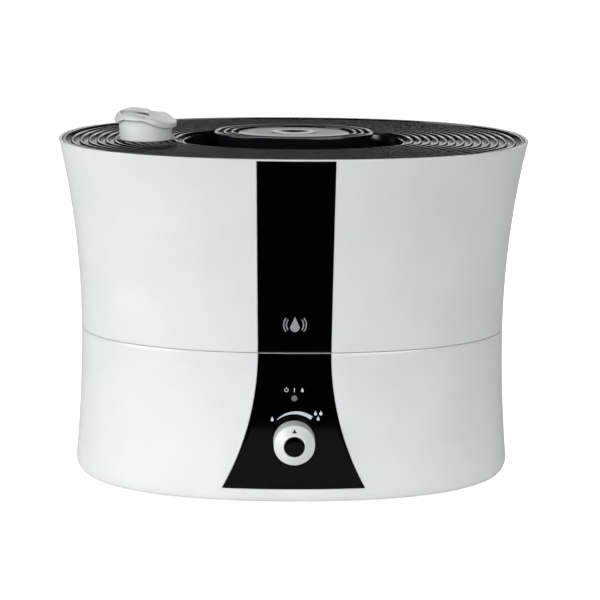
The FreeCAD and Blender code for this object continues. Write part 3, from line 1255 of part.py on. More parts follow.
def nozzle():
    """A turning mist outlet: a bored stem under an overhanging head whose high side holds the mouth."""
    bottom = RIM - STEM_BELOW_RIM
    high = RIM + HEAD_HIGH
    stem = cylinder(STEM_RADIUS, bottom, high, MIST_X)
    head = cylinder(HEAD_RADIUS, bottom, high, MIST_X).cut(under_curve(HEAD_BAND, bottom - PAST))
    solid = stem.fuse(head).common(under_curve(0.0, bottom - PAST))
    below_roof = under_curve(HEAD_ROOF, bottom - 2 * PAST)
    bore = cylinder(NOZZLE_BORE, bottom - PAST, high, MIST_X).common(below_roof)
    return solid.cut(bore).cut(mouth_tool(RIM))


def mouth_tool(bottom):
    """The mist mouth: a slot with a round end, up through the high side of the head."""
    half = MOUTH_WIDTH / 2
    middle = MIST_X + MOUTH_END - half
    slot = block(MIST_X - HEAD_RADIUS, middle, -half, half, bottom, FAR)
    slot = slot.fuse(cylinder(half, bottom, FAR, middle))
    over_bore = cylinder(NOZZLE_BORE, bottom, FAR, MIST_X)
    over_roof = cylinder(HEAD_RADIUS - MOUTH_RIM, RIM + HEAD_HIGH - HEAD_ROOF, FAR, MIST_X)
    return slot.common(over_bore.fuse(over_roof))


# ---------------------------------------------------------------- placing and writing

NODES = (
    base_shell, bottom_plate, rubber_feet, base_screws, lower_panel, panel_print, led_lens, status_led,
    control_board, potentiometer, water_tray, transducer_seal, transducer_disc, transducer_retainer,
    transducer_screws, driver_heatsink, transformer, mains_capacitor, fan_frame, fan_motor, fan_screws,
    air_duct, reed_switch, float_clip, cord_gland, driver_board, power_board, fan_rotor, float_ring,
    float_magnet, knob_body, knob_cap, knob_pointer, knob_shaft, tank_shell, upper_panel, emblem_print,
    tank_floor, mist_tube, valve_cap, valve_plunger, valve_seal, valve_spring, top_cover, cover_gasket,
    grip_disc, grip_screws, nozzle_collar, nozzle,
)

# The origin is under the middle of the whole object's depth, from the knob's cap to the rim at
# the rear, so the oval's own centre lies a little behind it.
OVAL_CENTRE_Y = (-(KNOB_FRONT - 2 * SHAFT_GAP) - TOP_HALF * DEPTH_RATIO) / 2

os.makedirs("parts", exist_ok=True)
for make in NODES:
    shape = make()
    shape.translate(Vector(0, OVAL_CENTRE_Y, 0))
    shape.exportStep(f"parts/{make.__name__}.step")
print("oval centre y", round(OVAL_CENTRE_Y, 4), "ridges", RIDGES)
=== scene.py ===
import json
import math

import bmesh
import bpy
from mathutils import Matrix, Vector


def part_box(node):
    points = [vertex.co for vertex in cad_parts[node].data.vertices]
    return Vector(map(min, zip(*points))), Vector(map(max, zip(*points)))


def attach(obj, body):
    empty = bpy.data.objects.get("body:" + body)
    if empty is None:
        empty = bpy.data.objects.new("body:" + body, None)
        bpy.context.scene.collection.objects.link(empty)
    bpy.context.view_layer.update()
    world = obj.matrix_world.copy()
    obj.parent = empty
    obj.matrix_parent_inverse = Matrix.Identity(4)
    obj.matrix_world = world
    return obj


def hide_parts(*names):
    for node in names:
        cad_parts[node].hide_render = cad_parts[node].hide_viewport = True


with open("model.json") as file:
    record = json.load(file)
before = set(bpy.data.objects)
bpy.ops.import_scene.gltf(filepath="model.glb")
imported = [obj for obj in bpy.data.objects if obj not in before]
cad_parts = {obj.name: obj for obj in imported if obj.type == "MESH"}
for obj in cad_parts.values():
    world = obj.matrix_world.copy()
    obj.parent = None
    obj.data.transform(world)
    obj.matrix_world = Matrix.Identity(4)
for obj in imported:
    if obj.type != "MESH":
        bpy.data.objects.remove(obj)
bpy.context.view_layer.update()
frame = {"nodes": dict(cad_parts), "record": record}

# Millimetres here become metres in the meshes.
MM = 0.001

# ---- sizes read from the frame ----
TANK_LOW, TANK_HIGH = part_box("tank_shell")
BASE_LOW, BASE_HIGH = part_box("base_shell")
CENTRE_Y = (TANK_LOW.y + TANK_HIGH.y) / 2 / MM
TOP_HALF = (TANK_HIGH.x - TANK_LOW.x) / 2 / MM
DEPTH_RATIO = (TANK_HIGH.y - TANK_LOW.y) / (TANK_HIGH.x - TANK_LOW.x)
RIM = TANK_HIGH.z / MM
TANK_BOTTOM = TANK_LOW.z / MM
BASE_TOP = BASE_HIGH.z / MM
BASE_BOTTOM = BASE_LOW.z / MM
SEAM = (TANK_BOTTOM + BASE_TOP) / 2

# ---- the body's profile ----
OVAL_POWER = 2.25
WAIST_HALF = 155.1
BOTTOM_HALF = 160.0
LIP_HEIGHT = 10.0
LIP_INSET = 7.5
LIP_ROUNDNESS = 0.96            # how much of a quarter turn the lip makes
LIP_TOP = BASE_BOTTOM + LIP_HEIGHT
WALL = 2.8

# ---- the front panels ----
PANEL_DEPTH = 0.8
GLUE_GAP = 0.3
PANEL_TOP_WIDTH = 54.6
PANEL_SEAM_WIDTH = 51.3
PANEL_BOTTOM_WIDTH = 101.7
PANEL_TOP = RIM - 1.3
PANEL_GAP = 0.2
PANEL_BEVEL = 0.45
PANEL_RECESS_LIP = 0.3          # the recess begins with a step this deep
EDGE_STEP = 0.01                # two points this far apart in height make a sharp edge


def body_half_width(z):
    """Half the body's width at height z: waisted at the seam, with a rounded lip at the foot."""
    if z >= SEAM:
        reach, rise = RIM - SEAM, TOP_HALF - WAIST_HALF
    else:
        reach, rise = SEAM - LIP_TOP, BOTTOM_HALF - WAIST_HALF
    radius = (reach ** 2 + rise ** 2) / (2 * rise)
    if z < LIP_TOP:
        drop = min((LIP_TOP - z) / LIP_HEIGHT, 1.0)
        return BOTTOM_HALF - LIP_INSET * (1 - math.sqrt(1 - drop ** 2 * LIP_ROUNDNESS))
    return WAIST_HALF + radius - math.sqrt(radius ** 2 - (z - SEAM) ** 2)


def oval_point(half_x, half_y, turn):
    """A point on the oval; turn 0 is the front, and it runs anticlockwise seen from above."""
    c, s = math.sin(turn), -math.cos(turn)
    reach = (abs(c) ** OVAL_POWER + abs(s) ** OVAL_POWER) ** (-1 / OVAL_POWER)
    return half_x * c * reach, half_y * s * reach


def turn_at_x(half_x, x):
    """The turn at which the oval's front reaches x."""
    low, high = 0.0, math.pi / 2
    for _ in range(40):
        middle = (low + high) / 2
        if oval_point(half_x, half_x, middle)[0] < x:
            low = middle
        else:
            high = middle
    return low


def panel_half_width(z):
    """Half the panels' width at height z: nearly straight above the seam, flaring below it."""
    if z >= SEAM:
        share = (z - SEAM) / (RIM - SEAM)
        return (PANEL_SEAM_WIDTH + (PANEL_TOP_WIDTH - PANEL_SEAM_WIDTH) * share) / 2
    reach, flare = SEAM - LIP_TOP, (PANEL_BOTTOM_WIDTH - PANEL_SEAM_WIDTH) / 2
    radius = (reach ** 2 + flare ** 2) / (2 * flare)
    return PANEL_SEAM_WIDTH / 2 + radius - math.sqrt(radius ** 2 - (SEAM - z) ** 2)


def front_point(x, z, depth):
    """A point on the body's front at x and z, moved in by depth."""
    half = body_half_width(z)
    share = min(abs(x) / (half - depth), 1.0)
    y = -(half * DEPTH_RATIO - depth) * (1 - share ** OVAL_POWER) ** (1 / OVAL_POWER)
    return x, y, z


# ---------------------------------------------------------------- meshes

SHARP_ANGLE = 38.0


def place(point):
    """From millimetres about the oval's centre to metres in the frame."""
    return Vector((point[0] * MM, (point[1] + CENTRE_Y) * MM, point[2] * MM))


def finish_mesh(name, bm, sharp_angle):
    """Smooth shading, with sharp edges where faces turn by more than sharp_angle."""
    bmesh.ops.remove_doubles(bm, verts=bm.verts, dist=1e-7)
    bmesh.ops.recalc_face_normals(bm, faces=bm.faces)
    limit = math.radians(sharp_angle)
    for face in bm.faces:
        face.smooth = True
    for edge in bm.edges:
        if len(edge.link_faces) == 2 and edge.calc_face_angle(0.0) > limit:
            edge.smooth = False
    mesh = bpy.data.meshes.new(name)
    bm.to_mesh(mesh)
    bm.free()
    piece = bpy.data.objects.new(name, mesh)
    bpy.context.scene.collection.objects.link(piece)
    return piece


def ring_mesh(name, rings, ends="cap", sharp_angle=SHARP_ANGLE):
    """A solid from closed rings of points.

    With ends="cap" one face closes each end, with "strip" a row of faces does, front to back,
    and with "wrap" the last ring meets the first.
    """
    bm = bmesh.new()
    rows = [[bm.verts.new(place(p)) for p in ring] for ring in rings]
    count = len(rows[0])
    pairs = list(zip(rows, rows[1:]))
    if ends == "wrap":
        pairs.append((rows[-1], rows[0]))
    for low, high in pairs:
        for i in range(count):
            j = (i + 1) % count
            bm.faces.new((low[i], low[j], high[j], high[i]))
    if ends == "cap":
        bm.faces.new(list(reversed(rows[0])))
        bm.faces.new(rows[-1])
    if ends == "strip":
        for row in (rows[0], rows[-1]):
            for i in range(count // 2 - 1):
                bm.faces.new((row[i], row[i + 1], row[count - 2 - i], row[count - 1 - i]))
    return finish_mesh(name, bm, sharp_angle)


AROUND = 220                    # steps round a shell outside the panel
PANEL_COLUMNS = 24              # steps across the panel
RECESS_SIDE = 0.02              # how far the recess's side wall leans


def shell_ring(z, inset, recess):
    """One level of a shell: the panel's recess across the front, then round the back."""
    half = body_half_width(z)
    edge = panel_half_width(z) + PANEL_GAP
    ring = []
    for i in range(PANEL_COLUMNS + 1):
        x = edge * (2 * i / PANEL_COLUMNS - 1)
        ring.append(front_point(x, z, inset + recess))
    lip = min(recess, PANEL_RECESS_LIP)
    ring.append(front_point(edge + RECESS_SIDE, z, inset + lip))
    start = turn_at_x(half - inset, edge + PANEL_RECESS_LIP)
    for i in range(AROUND + 1):
        turn = start + (2 * math.pi - 2 * start) * i / AROUND
        x, y = oval_point(half - inset, half * DEPTH_RATIO - inset, turn)
        ring.append((x, y, z))
    ring.append(front_point(-edge - RECESS_SIDE, z, inset + lip))
    return ring


def spread(low, high, count):
    """Evenly spaced values from low to high."""
    return [low + (high - low) * i / (count - 1) for i in range(count)]


# ---- the seat that the top cover drops into ----
COVER_THICK = 5.4
GASKET_THICK = 1.2
COVER_UNDER = RIM - COVER_THICK
LEDGE_TOP = COVER_UNDER - GASKET_THICK
LEDGE_THICK = 3.0
LEDGE_WIDTH = 4.0
SEAT_WALL = 1.07
PANEL_BACKING = 0.6
SEAT_HALF = body_half_width(LEDGE_TOP) - SEAT_WALL
SEAT_FRONT = body_half_width(LEDGE_TOP) * DEPTH_RATIO - PANEL_DEPTH - GLUE_GAP - PANEL_BACKING
COVER_RATIO = SEAT_FRONT / SEAT_HALF


def seat_ring(z, grow):
    """The straight-sided seat in the rim, widened by grow, with the shell ring's count of points."""
    count = len(shell_ring(z, 0, 0))
    start = turn_at_x(SEAT_HALF, panel_half_width(z))
    ring = []
    for i in range(PANEL_COLUMNS + 1):
        turn = start * (2 * i / PANEL_COLUMNS - 1)
        ring.append((*oval_point(SEAT_HALF + grow, SEAT_FRONT + grow, turn), z))
    rest = count - len(ring)
    for i in range(rest):
        turn = start + (2 * math.pi - 2 * start) * (i + 1) / (rest + 1)
        ring.append((*oval_point(SEAT_HALF + grow, SEAT_FRONT + grow, turn), z))
    return ring


RECESS_DEPTH = PANEL_DEPTH + GLUE_GAP
SEAM_ROUND = ((0.25, 0), (0.08, 0.08), (0, 0.25))      # (inset, distance from the seam's edge)
RIM_ROUND_OUTSIDE = ((0, 0.7), (0.1, 0.35), (0.3, 0.12), (0.6, 0))
RIM_ROUND_INSIDE = ((0.4, 0), (0.1, 0.12), (0, 0.4), (0, COVER_THICK + GASKET_THICK))
INNER_EDGE = 0.4                # bevel between a shell's end and its inside


def tank_shell():
    """The tank's wall: outside upwards, over the rim, into the cover's seat and down inside."""
    top = PANEL_TOP + PANEL_GAP
    rows = [(TANK_BOTTOM + up, inset, RECESS_DEPTH) for inset, up in SEAM_ROUND]
    rows += [(z, 0, RECESS_DEPTH) for z in spread(TANK_BOTTOM + 4, top - 2, 34)]
    rows += [(top, 0, RECESS_DEPTH), (top + EDGE_STEP, 0, PANEL_RECESS_LIP), (top + 0.25, 0, 0)]
    rows += [(RIM - down, inset, 0) for inset, down in RIM_ROUND_OUTSIDE]
    rings = [shell_ring(*row) for row in rows]
    rings += [seat_ring(RIM - down, grow) for grow, down in RIM_ROUND_INSIDE]
    inner = LEDGE_TOP - LEDGE_THICK
    ledge = WALL + LEDGE_WIDTH
    rows = [(LEDGE_TOP, ledge, 0), (inner, ledge, 0), (inner - EDGE_STEP, WALL, 0)]
    rows += [(z, WALL, 0) for z in spread(inner - 4, TANK_BOTTOM + 4, 16)]
    rows += [(TANK_BOTTOM + INNER_EDGE, WALL, 0), (TANK_BOTTOM, WALL - INNER_EDGE, 0)]
    return ring_mesh("tank_shell_skin", rings + [shell_ring(*row) for row in rows], ends="wrap")


def base_shell():
    """The base's wall: outside upwards from the foot's lip, over the seam and down inside."""
    rows = [(BASE_BOTTOM, 0.9, 0), (BASE_BOTTOM + 0.2, 0.25, 0)]
    rows += [(z, 0, 0) for z in spread(BASE_BOTTOM + 0.8, LIP_TOP - 0.3, 10)]
    rows += [(LIP_TOP - EDGE_STEP, 0, PANEL_RECESS_LIP), (LIP_TOP, 0, RECESS_DEPTH)]
    rows += [(z, 0, RECESS_DEPTH) for z in spread(LIP_TOP + 2, BASE_TOP - 3, 28)]
    rows += [(BASE_TOP - down, inset, RECESS_DEPTH) for inset, down in reversed(SEAM_ROUND)]
    rows += [(BASE_TOP, WALL - INNER_EDGE, 0), (BASE_TOP - INNER_EDGE, WALL, 0)]
    rows += [(z, WALL, 0) for z in spread(BASE_TOP - 4, LIP_TOP, 16)]
    rows += [(z, WALL, 0) for z in spread(LIP_TOP - 2, BASE_BOTTOM + 0.5, 5)]
    rows += [(BASE_BOTTOM, WALL - 0.3, 0)]
    return ring_mesh("base_shell_skin", [shell_ring(*row) for row in rows], ends="wrap")


def panel(name, bottom, top):
    """A black panel: a curved plate with rolled edges."""
    rings = []
    roll = [math.radians(angle) for angle in (0, 22, 45, 67, 90)]
    ends = [(PANEL_BEVEL * (1 - math.cos(turn)), PANEL_BEVEL * (1 - math.sin(turn))) for turn in roll]
    levels = [(bottom + inward, sunk) for inward, sunk in ends]
    levels += [(z, 0.0) for z in spread(bottom + 3, top - 3, 30)]
    levels += [(top - inward, sunk) for inward, sunk in reversed(ends)]
    for z, sunk in levels:
        half = panel_half_width(z)
        front = [(half - inward, max(sunk, drop)) for inward, drop in ends]
        ring = [front_point(-x, z, d) for x, d in front]
        inner = half - PANEL_BEVEL
        for i in range(1, PANEL_COLUMNS):
            ring.append(front_point(inner * (2 * i / PANEL_COLUMNS - 1), z, sunk))
        ring += [front_point(x, z, d) for x, d in reversed(front)]
        back = [front_point(-p[0], z, PANEL_DEPTH - 0.05) for p in ring]
        rings.append(ring + back)
    return ring_mesh(name, rings, ends="strip", sharp_angle=50)


# ---- the ridged cover ----
COVER_BAND = 2.5
RIDGES = 13
RIDGE_PITCH = 6.2
RIDGE_WIDTH = 2.8
RIDGE_TOP = RIM - 0.9
GROOVE_FLOOR = RIDGE_TOP - 2.5
WELL_HALF = 79.5
WELL_FLOOR = RIDGE_TOP - 12.0
WELL_WALL = 2.0
WELL_LIP = 1.6                  # width of the smooth ring round the well
COVER_GAP = 0.3
COVER_EDGE = SEAT_HALF - COVER_GAP
RIDGE_FROM_EDGE = 7.3
RIDGE_FIRST = COVER_EDGE - RIDGE_FROM_EDGE
RIDGE_FLATNESS = 0.8            # the ridges' crowns are this share of a half circle
RIDGE_ANGLES = (8, 30, 55, 75, 90, 105, 125, 150, 172)
OVAL_COLUMNS = 288


def oval_ring(half, z):
    """A level ring of the cover's or the grip's oval."""
    ring = []
    for i in range(OVAL_COLUMNS):
        x, y = oval_point(half, half * COVER_RATIO, 2 * math.pi * i / OVAL_COLUMNS)
        ring.append((x, y, z))
    return ring


def cover_profile():
    """(half width, z) round the cover's section: edge, ridges, well, and back underneath."""
    profile = [(COVER_EDGE - 0.4, COVER_UNDER), (COVER_EDGE, COVER_UNDER + 0.4), (COVER_EDGE, RIM - 0.5),
               (COVER_EDGE - 0.15, RIM - 0.15), (COVER_EDGE - 0.5, RIM)]
    band = COVER_EDGE - COVER_BAND
    profile += [(band + 0.5, RIM), (band + 0.12, RIM - 0.15), (band, RIM - 0.5), (band, GROOVE_FLOOR)]
    radius = RIDGE_WIDTH / 2
    for index in range(RIDGES):
        middle = RIDGE_FIRST - index * RIDGE_PITCH
        profile += [(middle + radius, GROOVE_FLOOR)]
        for angle in RIDGE_ANGLES:
            turn = math.radians(angle)
            drop = radius * RIDGE_FLATNESS * (1 - math.sin(turn))
            profile.append((middle + radius * math.cos(turn), RIDGE_TOP - drop))
        profile += [(middle - radius, GROOVE_FLOOR)]
    lip = WELL_HALF + WELL_LIP
    profile += [(lip + 0.6, GROOVE_FLOOR), (lip, GROOVE_FLOOR + 0.5), (lip - 0.5, GROOVE_FLOOR + 0.8),
                (WELL_HALF + 0.4, GROOVE_FLOOR + 0.8), (WELL_HALF, GROOVE_FLOOR + 0.4)]
    profile += [(WELL_HALF - 0.6, WELL_FLOOR + 2), (WELL_HALF - 1.6, WELL_FLOOR + 0.6),
                (WELL_HALF - 3, WELL_FLOOR)]
    profile += [(half, WELL_FLOOR) for half in (40, 12, 0.5)]
    under = WELL_FLOOR - WELL_WALL
    profile += [(0.5, under), (40, under), (WELL_HALF, under),
                (WELL_HALF + WELL_WALL, WELL_FLOOR), (WELL_HALF + WELL_WALL, COVER_UNDER)]
    return profile


SOCKET_SIDES = 96


def cylinder_tool(x, y, radius, low, high):
    """An upright cylinder to cut with."""
    rings = []
    for z in (low, high):
        ring = []
        for i in range(SOCKET_SIDES):
            turn = 2 * math.pi * i / SOCKET_SIDES
            ring.append((x + radius * math.cos(turn), y + radius * math.sin(turn), z))
        rings.append(ring)
    return ring_mesh("tool", rings)


def carve(piece, tool):
    """Cuts the tool out of the piece and removes the tool."""
    modifier = piece.modifiers.new("carve", "BOOLEAN")
    modifier.operation = "DIFFERENCE"
    modifier.object = tool
    modifier.solver = "EXACT"
    graph = bpy.context.evaluated_depsgraph_get()
    mesh = bpy.data.meshes.new_from_object(piece.evaluated_get(graph))
    piece.modifiers.remove(modifier)
    old = piece.data
    piece.data = mesh
    bpy.data.meshes.remove(old)
    bpy.data.objects.remove(tool)


NOZZLE_LOW, NOZZLE_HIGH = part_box("nozzle")
NOZZLE_X = (NOZZLE_LOW.x + NOZZLE_HIGH.x) / 2 / MM
SOCKET_RADIUS = 22.4


def top_cover():
    """The ridged cover with the hole that the nozzle's sleeve drops into."""
    cover = ring_mesh("top_cover_skin", [oval_ring(*p) for p in cover_profile()], ends="wrap")
    carve(cover, cylinder_tool(NOZZLE_X, 0, SOCKET_RADIUS, COVER_UNDER - 20, RIM + 10))
    return cover


# ---- the grip ----
GRIP_LOW, GRIP_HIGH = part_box("grip_disc")
GRIP_TOP = GRIP_HIGH.z / MM
GRIP_BOTTOM = GRIP_LOW.z / MM
GRIP_HALF = (GRIP_HIGH.x - GRIP_LOW.x) / 2 / MM
GRIP_FOOT = 51.5
GRIP_SIDE_CURVE = 1.3
GRIP_EDGE = 57.0                # outer half widths: the edge, then the two rings inside it
GRIP_RINGS = (51.4, 46.0)
GRIP_RING_WIDTH = 2.6
GRIP_RING_ROUND = 1.0
GRIP_GROOVE = 2.4
GRIP_GROOVE_DEPTH = 1.9
GRIP_PLATEAU_DROP = 0.5
GRIP_DIMPLE = 15
GRIP_DIMPLE_DEPTH = 1.6


def rounded_shoulder(half, angles):
    """(half width, z) round one shoulder of a grip ring."""
    points = []
    for angle in angles:
        turn = math.radians(angle)
        points.append((half + GRIP_RING_ROUND * math.cos(turn),
                       GRIP_TOP - GRIP_RING_ROUND * (1 - math.sin(turn))))
    return points


def grip_disc():
    """The oval grip: a flaring side, two raised rings, a shallow plateau and a dimple."""
    foot = GRIP_FOOT
    profile = [(0.4, GRIP_BOTTOM), (foot - 3, GRIP_BOTTOM), (foot, GRIP_BOTTOM + 0.3)]
    for share in (0.25, 0.5, 0.75, 0.93):
        half = foot + (GRIP_HALF - foot) * share ** GRIP_SIDE_CURVE
        profile.append((half, GRIP_BOTTOM + (GRIP_TOP - 1.6 - GRIP_BOTTOM) * share))
    edge = ((0.1, 1.3), (0, 0.9), (0.2, 0.4), (0.7, 0.05), (1.3, 0))
    profile += [(GRIP_HALF - inward, GRIP_TOP - down) for inward, down in edge]
    for ridge in (GRIP_EDGE,) + GRIP_RINGS:
        inner = ridge - GRIP_RING_WIDTH
        if ridge != GRIP_EDGE:
            profile += rounded_shoulder(ridge - GRIP_RING_ROUND, (0, 30, 60, 90))
        profile += rounded_shoulder(inner + GRIP_RING_ROUND, (90, 120, 150, 180))
        profile += [(half, GRIP_TOP - GRIP_GROOVE_DEPTH) for half in (inner, inner - GRIP_GROOVE)]
    plateau_edge = ((40.6, 0.9), (40.2, 0.4), (39.4, 0.1), (36, 0.05), (28, 0), (20, 0), (16.2, 0),
                    (15.4, 0.08))
    profile += [(half, GRIP_TOP - GRIP_PLATEAU_DROP - down) for half, down in plateau_edge]
    for share in (0.95, 0.85, 0.7, 0.5, 0.3, 0.1):
        sunk = 0.1 + GRIP_DIMPLE_DEPTH * (1 - share ** 2)
        profile.append((GRIP_DIMPLE * share, GRIP_TOP - GRIP_PLATEAU_DROP - sunk))
    return ring_mesh("grip_disc_skin", [oval_ring(*p) for p in profile])


# ---- the mist nozzle ----
STEM_RADIUS = 19.0
HEAD_RADIUS = 22.6
NOZZLE_BORE = 16.0
NOZZLE_BOTTOM = NOZZLE_LOW.z / MM
MOUTH_LEFT = -18.0
MOUTH_RIGHT = 2.8
MOUTH_HALF = 11.0
MOUTH_SQUARENESS = 5.0
MOUTH_LIP = 0.9                 # width of the mouth's rounded lip
NOZZLE_COLUMNS = 160
HEAD_STEPS = 24                 # rings from the mouth's lip to the head's edge


def smooth(low, high, value):
    """0 below low, 1 above high, and a smooth step between them."""
    share = min(max((value - low) / (high - low), 0.0), 1.0)
    return share * share * (3 - 2 * share)


def along_fall(x, y):
    """The head falls away to the right and a little to the front."""
    return 0.978 * x - 0.208 * y


def facet_height(x, y):
    """Height above the rim of the sloping facet on the head's right."""
    s = along_fall(x, y)
    return 18.5 - 2.4 * smooth(-10, 0, s) - 4.4 * smooth(7, 24, s)


def under_height(x, y):
    """Height above the rim of the lower edge of the head's band."""
    s = along_fall(x, y)
    return 14.5 - 6.2 * smooth(1, 21, s) - 3.0 * smooth(-11, -19, s)


def head_height(x, y):
    """The head's top: a dome round the mouth on the left, a dished facet on the right."""
    share = min(math.hypot(x, y) / HEAD_RADIUS, 1.0)
    crown = 19.5 - 2.0 * smooth(-14, 4, x) + 0.03 * y
    dome = crown - (crown - under_height(x, y) - 1.2) * share ** 11
    rolled_edge = 0.7 * share ** 40
    dish = 0.9 * (1 - share ** 6) * smooth(4, 9, x)
    facet = facet_height(x, y) - rolled_edge - dish
    right = smooth(1.5, 5.0, x + 0.10 * abs(y))
    return dome + (facet - dome) * right


def mouth_point(turn, grow):
    """A point on the mouth's outline, a rounded oblong, widened by grow."""
    c, s = math.sin(turn), -math.cos(turn)
    reach = (abs(c) ** MOUTH_SQUARENESS + abs(s) ** MOUTH_SQUARENESS) ** (-1 / MOUTH_SQUARENESS)
    half = (MOUTH_RIGHT - MOUTH_LEFT) / 2
    middle = (MOUTH_LEFT + MOUTH_RIGHT) / 2
    return middle + (half + grow) * c * reach, (MOUTH_HALF + grow) * s * reach


def nozzle_ring(point_of, height_of):
    """A ring of the nozzle from functions of the turn and of the place."""
    ring = []
    for i in range(NOZZLE_COLUMNS):
        x, y = point_of(2 * math.pi * i / NOZZLE_COLUMNS)
        ring.append((NOZZLE_X + x, y, RIM + height_of(x, y)))
    return ring


def circle(radius):
    """A function from turn to a point on a circle about the nozzle's axis."""
    return lambda turn: (radius * math.sin(turn), -radius * math.cos(turn))


def towards_edge(share):
    """A function from turn to a point this share of the way from the mouth's lip to the head's edge."""
    def point(turn):
        inner, outer = mouth_point(turn, MOUTH_LIP), circle(HEAD_RADIUS)(turn)
        return tuple(a + (b - a) * share for a, b in zip(inner, outer))
    return point


def mouth_lip(grow, drop):
    """A ring round the mouth, widened by grow and this far under the head's top."""
    return nozzle_ring(lambda turn: mouth_point(turn, grow), lambda x, y: head_height(x, y) - drop)


def head_side(lowered):
    """A ring on the head's side, from its top at 0 to its band's lower edge at 1."""
    def height(x, y):
        return head_height(x, y) * (1 - lowered) + (under_height(x, y) + 0.4) * lowered
    return nozzle_ring(circle(HEAD_RADIUS), height)


def nozzle():
    """The nozzle: mouth, head, side band, undercut, stem, and the bore back up to the mouth."""
    rings = [mouth_lip(*row) for row in ((0.0, 2.4), (0.0, 1.0), (0.08, 0.55), (0.3, 0.2), (0.6, 0.04))]
    for step in range(HEAD_STEPS + 1):
        share = 1 - (1 - step / HEAD_STEPS) ** 1.6
        rings.append(nozzle_ring(towards_edge(share), head_height))
    rings += [head_side(lowered) for lowered in (0.15, 0.5, 0.85)]
    undercut = ((HEAD_RADIUS - 0.1, 0.1), (HEAD_RADIUS - 0.5, 0.0), (HEAD_RADIUS - 1.6, 0.25),
                (HEAD_RADIUS - 2.6, 0.9), (STEM_RADIUS + 0.45, 2.2), (STEM_RADIUS + 0.15, 4.0),
                (STEM_RADIUS, 6.0))
    for radius, drop in undercut:
        rings.append(nozzle_ring(circle(radius), lambda x, y: under_height(x, y) + 0.1 - drop))
    depth = NOZZLE_BOTTOM - RIM
    stem = ((STEM_RADIUS, 0.0), (STEM_RADIUS, depth / 2), (STEM_RADIUS, depth + 0.3),
            (STEM_RADIUS - 0.4, depth))
    bore = ((NOZZLE_BORE + 0.3, depth), (NOZZLE_BORE, depth + 0.3), (NOZZLE_BORE, 0.0),
            (NOZZLE_BORE, 6.0))
    for radius, height in stem + bore:
        rings.append(nozzle_ring(circle(radius), lambda x, y: height))
    rings.append(nozzle_ring(circle(NOZZLE_BORE), lambda x, y: under_height(x, y) - 1.5))
    return ring_mesh("nozzle_skin", rings, ends="wrap", sharp_angle=55)


# ---- the knob ----
KNOB_LOW, KNOB_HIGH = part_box("knob_body")
KNOB_RADIUS = (KNOB_HIGH.x - KNOB_LOW.x) / 2 / MM
KNOB_Z = (KNOB_HIGH.z + KNOB_LOW.z) / 2 / MM
KNOB_BACK = KNOB_HIGH.y / MM - CENTRE_Y
KNOB_FRONT = KNOB_LOW.y / MM - CENTRE_Y
KNOB_NOSE = 5.2
KNOB_EDGE = 1.2
KNOB_EYE_LAND = 0.9
KNOB_DRAFT = 0.25
KNOB_WALL = 2.0
KNOB_HUB = 6.5
SHAFT_BORE = 3.1
CONE_SINK = 0.1                 # the cone lies this far behind the pointer's face
CAP_RADIUS = 7.35
CAP_FACE = 7.15
CAP_DEPTH = 2.4
KNOB_COLUMNS = 128


def turned(name, profile):
    """A solid turned about the knob's axis from (radius, y) points in a closed loop."""
    rings = []
    for radius, y in profile:
        ring = []
        for i in range(KNOB_COLUMNS):
            turn = 2 * math.pi * i / KNOB_COLUMNS
            ring.append((radius * math.cos(turn), y, KNOB_Z + radius * math.sin(turn)))
        rings.append(ring)
    return ring_mesh(name, rings, ends="wrap", sharp_angle=50)


def knob_body():
    """The knob: skirt edge, side, rounded shoulder, cone, the cap's eye, hub and hollow back."""
    shoulder = KNOB_FRONT + KNOB_NOSE
    eye = CAP_RADIUS + 0.05
    profile = [(KNOB_RADIUS - inward, KNOB_BACK - up) for inward, up in ((0.5, 0), (0.12, 0.12), (0, 0.5))]
    for share in (0.3, 0.6, 0.9):
        profile.append((KNOB_RADIUS - KNOB_DRAFT * share, KNOB_BACK + (shoulder - KNOB_BACK) * share))
    wide, land = KNOB_RADIUS - KNOB_EDGE, CAP_RADIUS + KNOB_EYE_LAND
    cone_rise = (KNOB_NOSE - KNOB_EDGE) / (wide - land)
    for outward, back in ((0.95, 1.0), (0.86, 0.72), (0.66, 0.42), (0.4, 0.18), (0.14, 0.04)):
        profile.append((wide + KNOB_EDGE * outward - 0.1, shoulder - KNOB_EDGE * (1 - back) + 0.06))
    for share in (0.06, 0.3, 0.5, 0.7, 0.92):
        radius = wide + (land - wide) * share
        profile.append((radius, KNOB_FRONT + cone_rise * (radius - land) + CONE_SINK))
    profile += [(land - 0.25, KNOB_FRONT + CONE_SINK), (eye + 0.4, KNOB_FRONT + CONE_SINK),
                (eye + 0.1, KNOB_FRONT + 0.25), (eye, KNOB_FRONT + 0.6), (eye, KNOB_FRONT + CAP_DEPTH)]
    profile += [(SHAFT_BORE, KNOB_FRONT + CAP_DEPTH + 1.0), (SHAFT_BORE, KNOB_BACK - 0.8),
                (KNOB_HUB, KNOB_BACK - 0.8), (KNOB_HUB, shoulder + KNOB_WALL)]
    inside = KNOB_RADIUS - KNOB_WALL
    profile += [(inside, shoulder + KNOB_WALL), (inside, KNOB_BACK - 0.4), (inside + 0.4, KNOB_BACK)]
    return turned("knob_body_skin", profile)


def knob_cap():
    """The cap: a slightly dished face with a rounded edge."""
    face = ((0.05, -0.08), (3.0, -0.07), (5.4, 0), (6.4, 0.1), (6.9, 0.28), (CAP_FACE, 0.6))
    profile = [(radius, KNOB_FRONT + 0.02 + back) for radius, back in face]
    bottom = KNOB_FRONT + CAP_DEPTH - 0.1
    profile += [(CAP_FACE, bottom), (0.05, bottom)]
    return turned("knob_cap_skin", profile)


# ---------------------------------------------------------------- materials

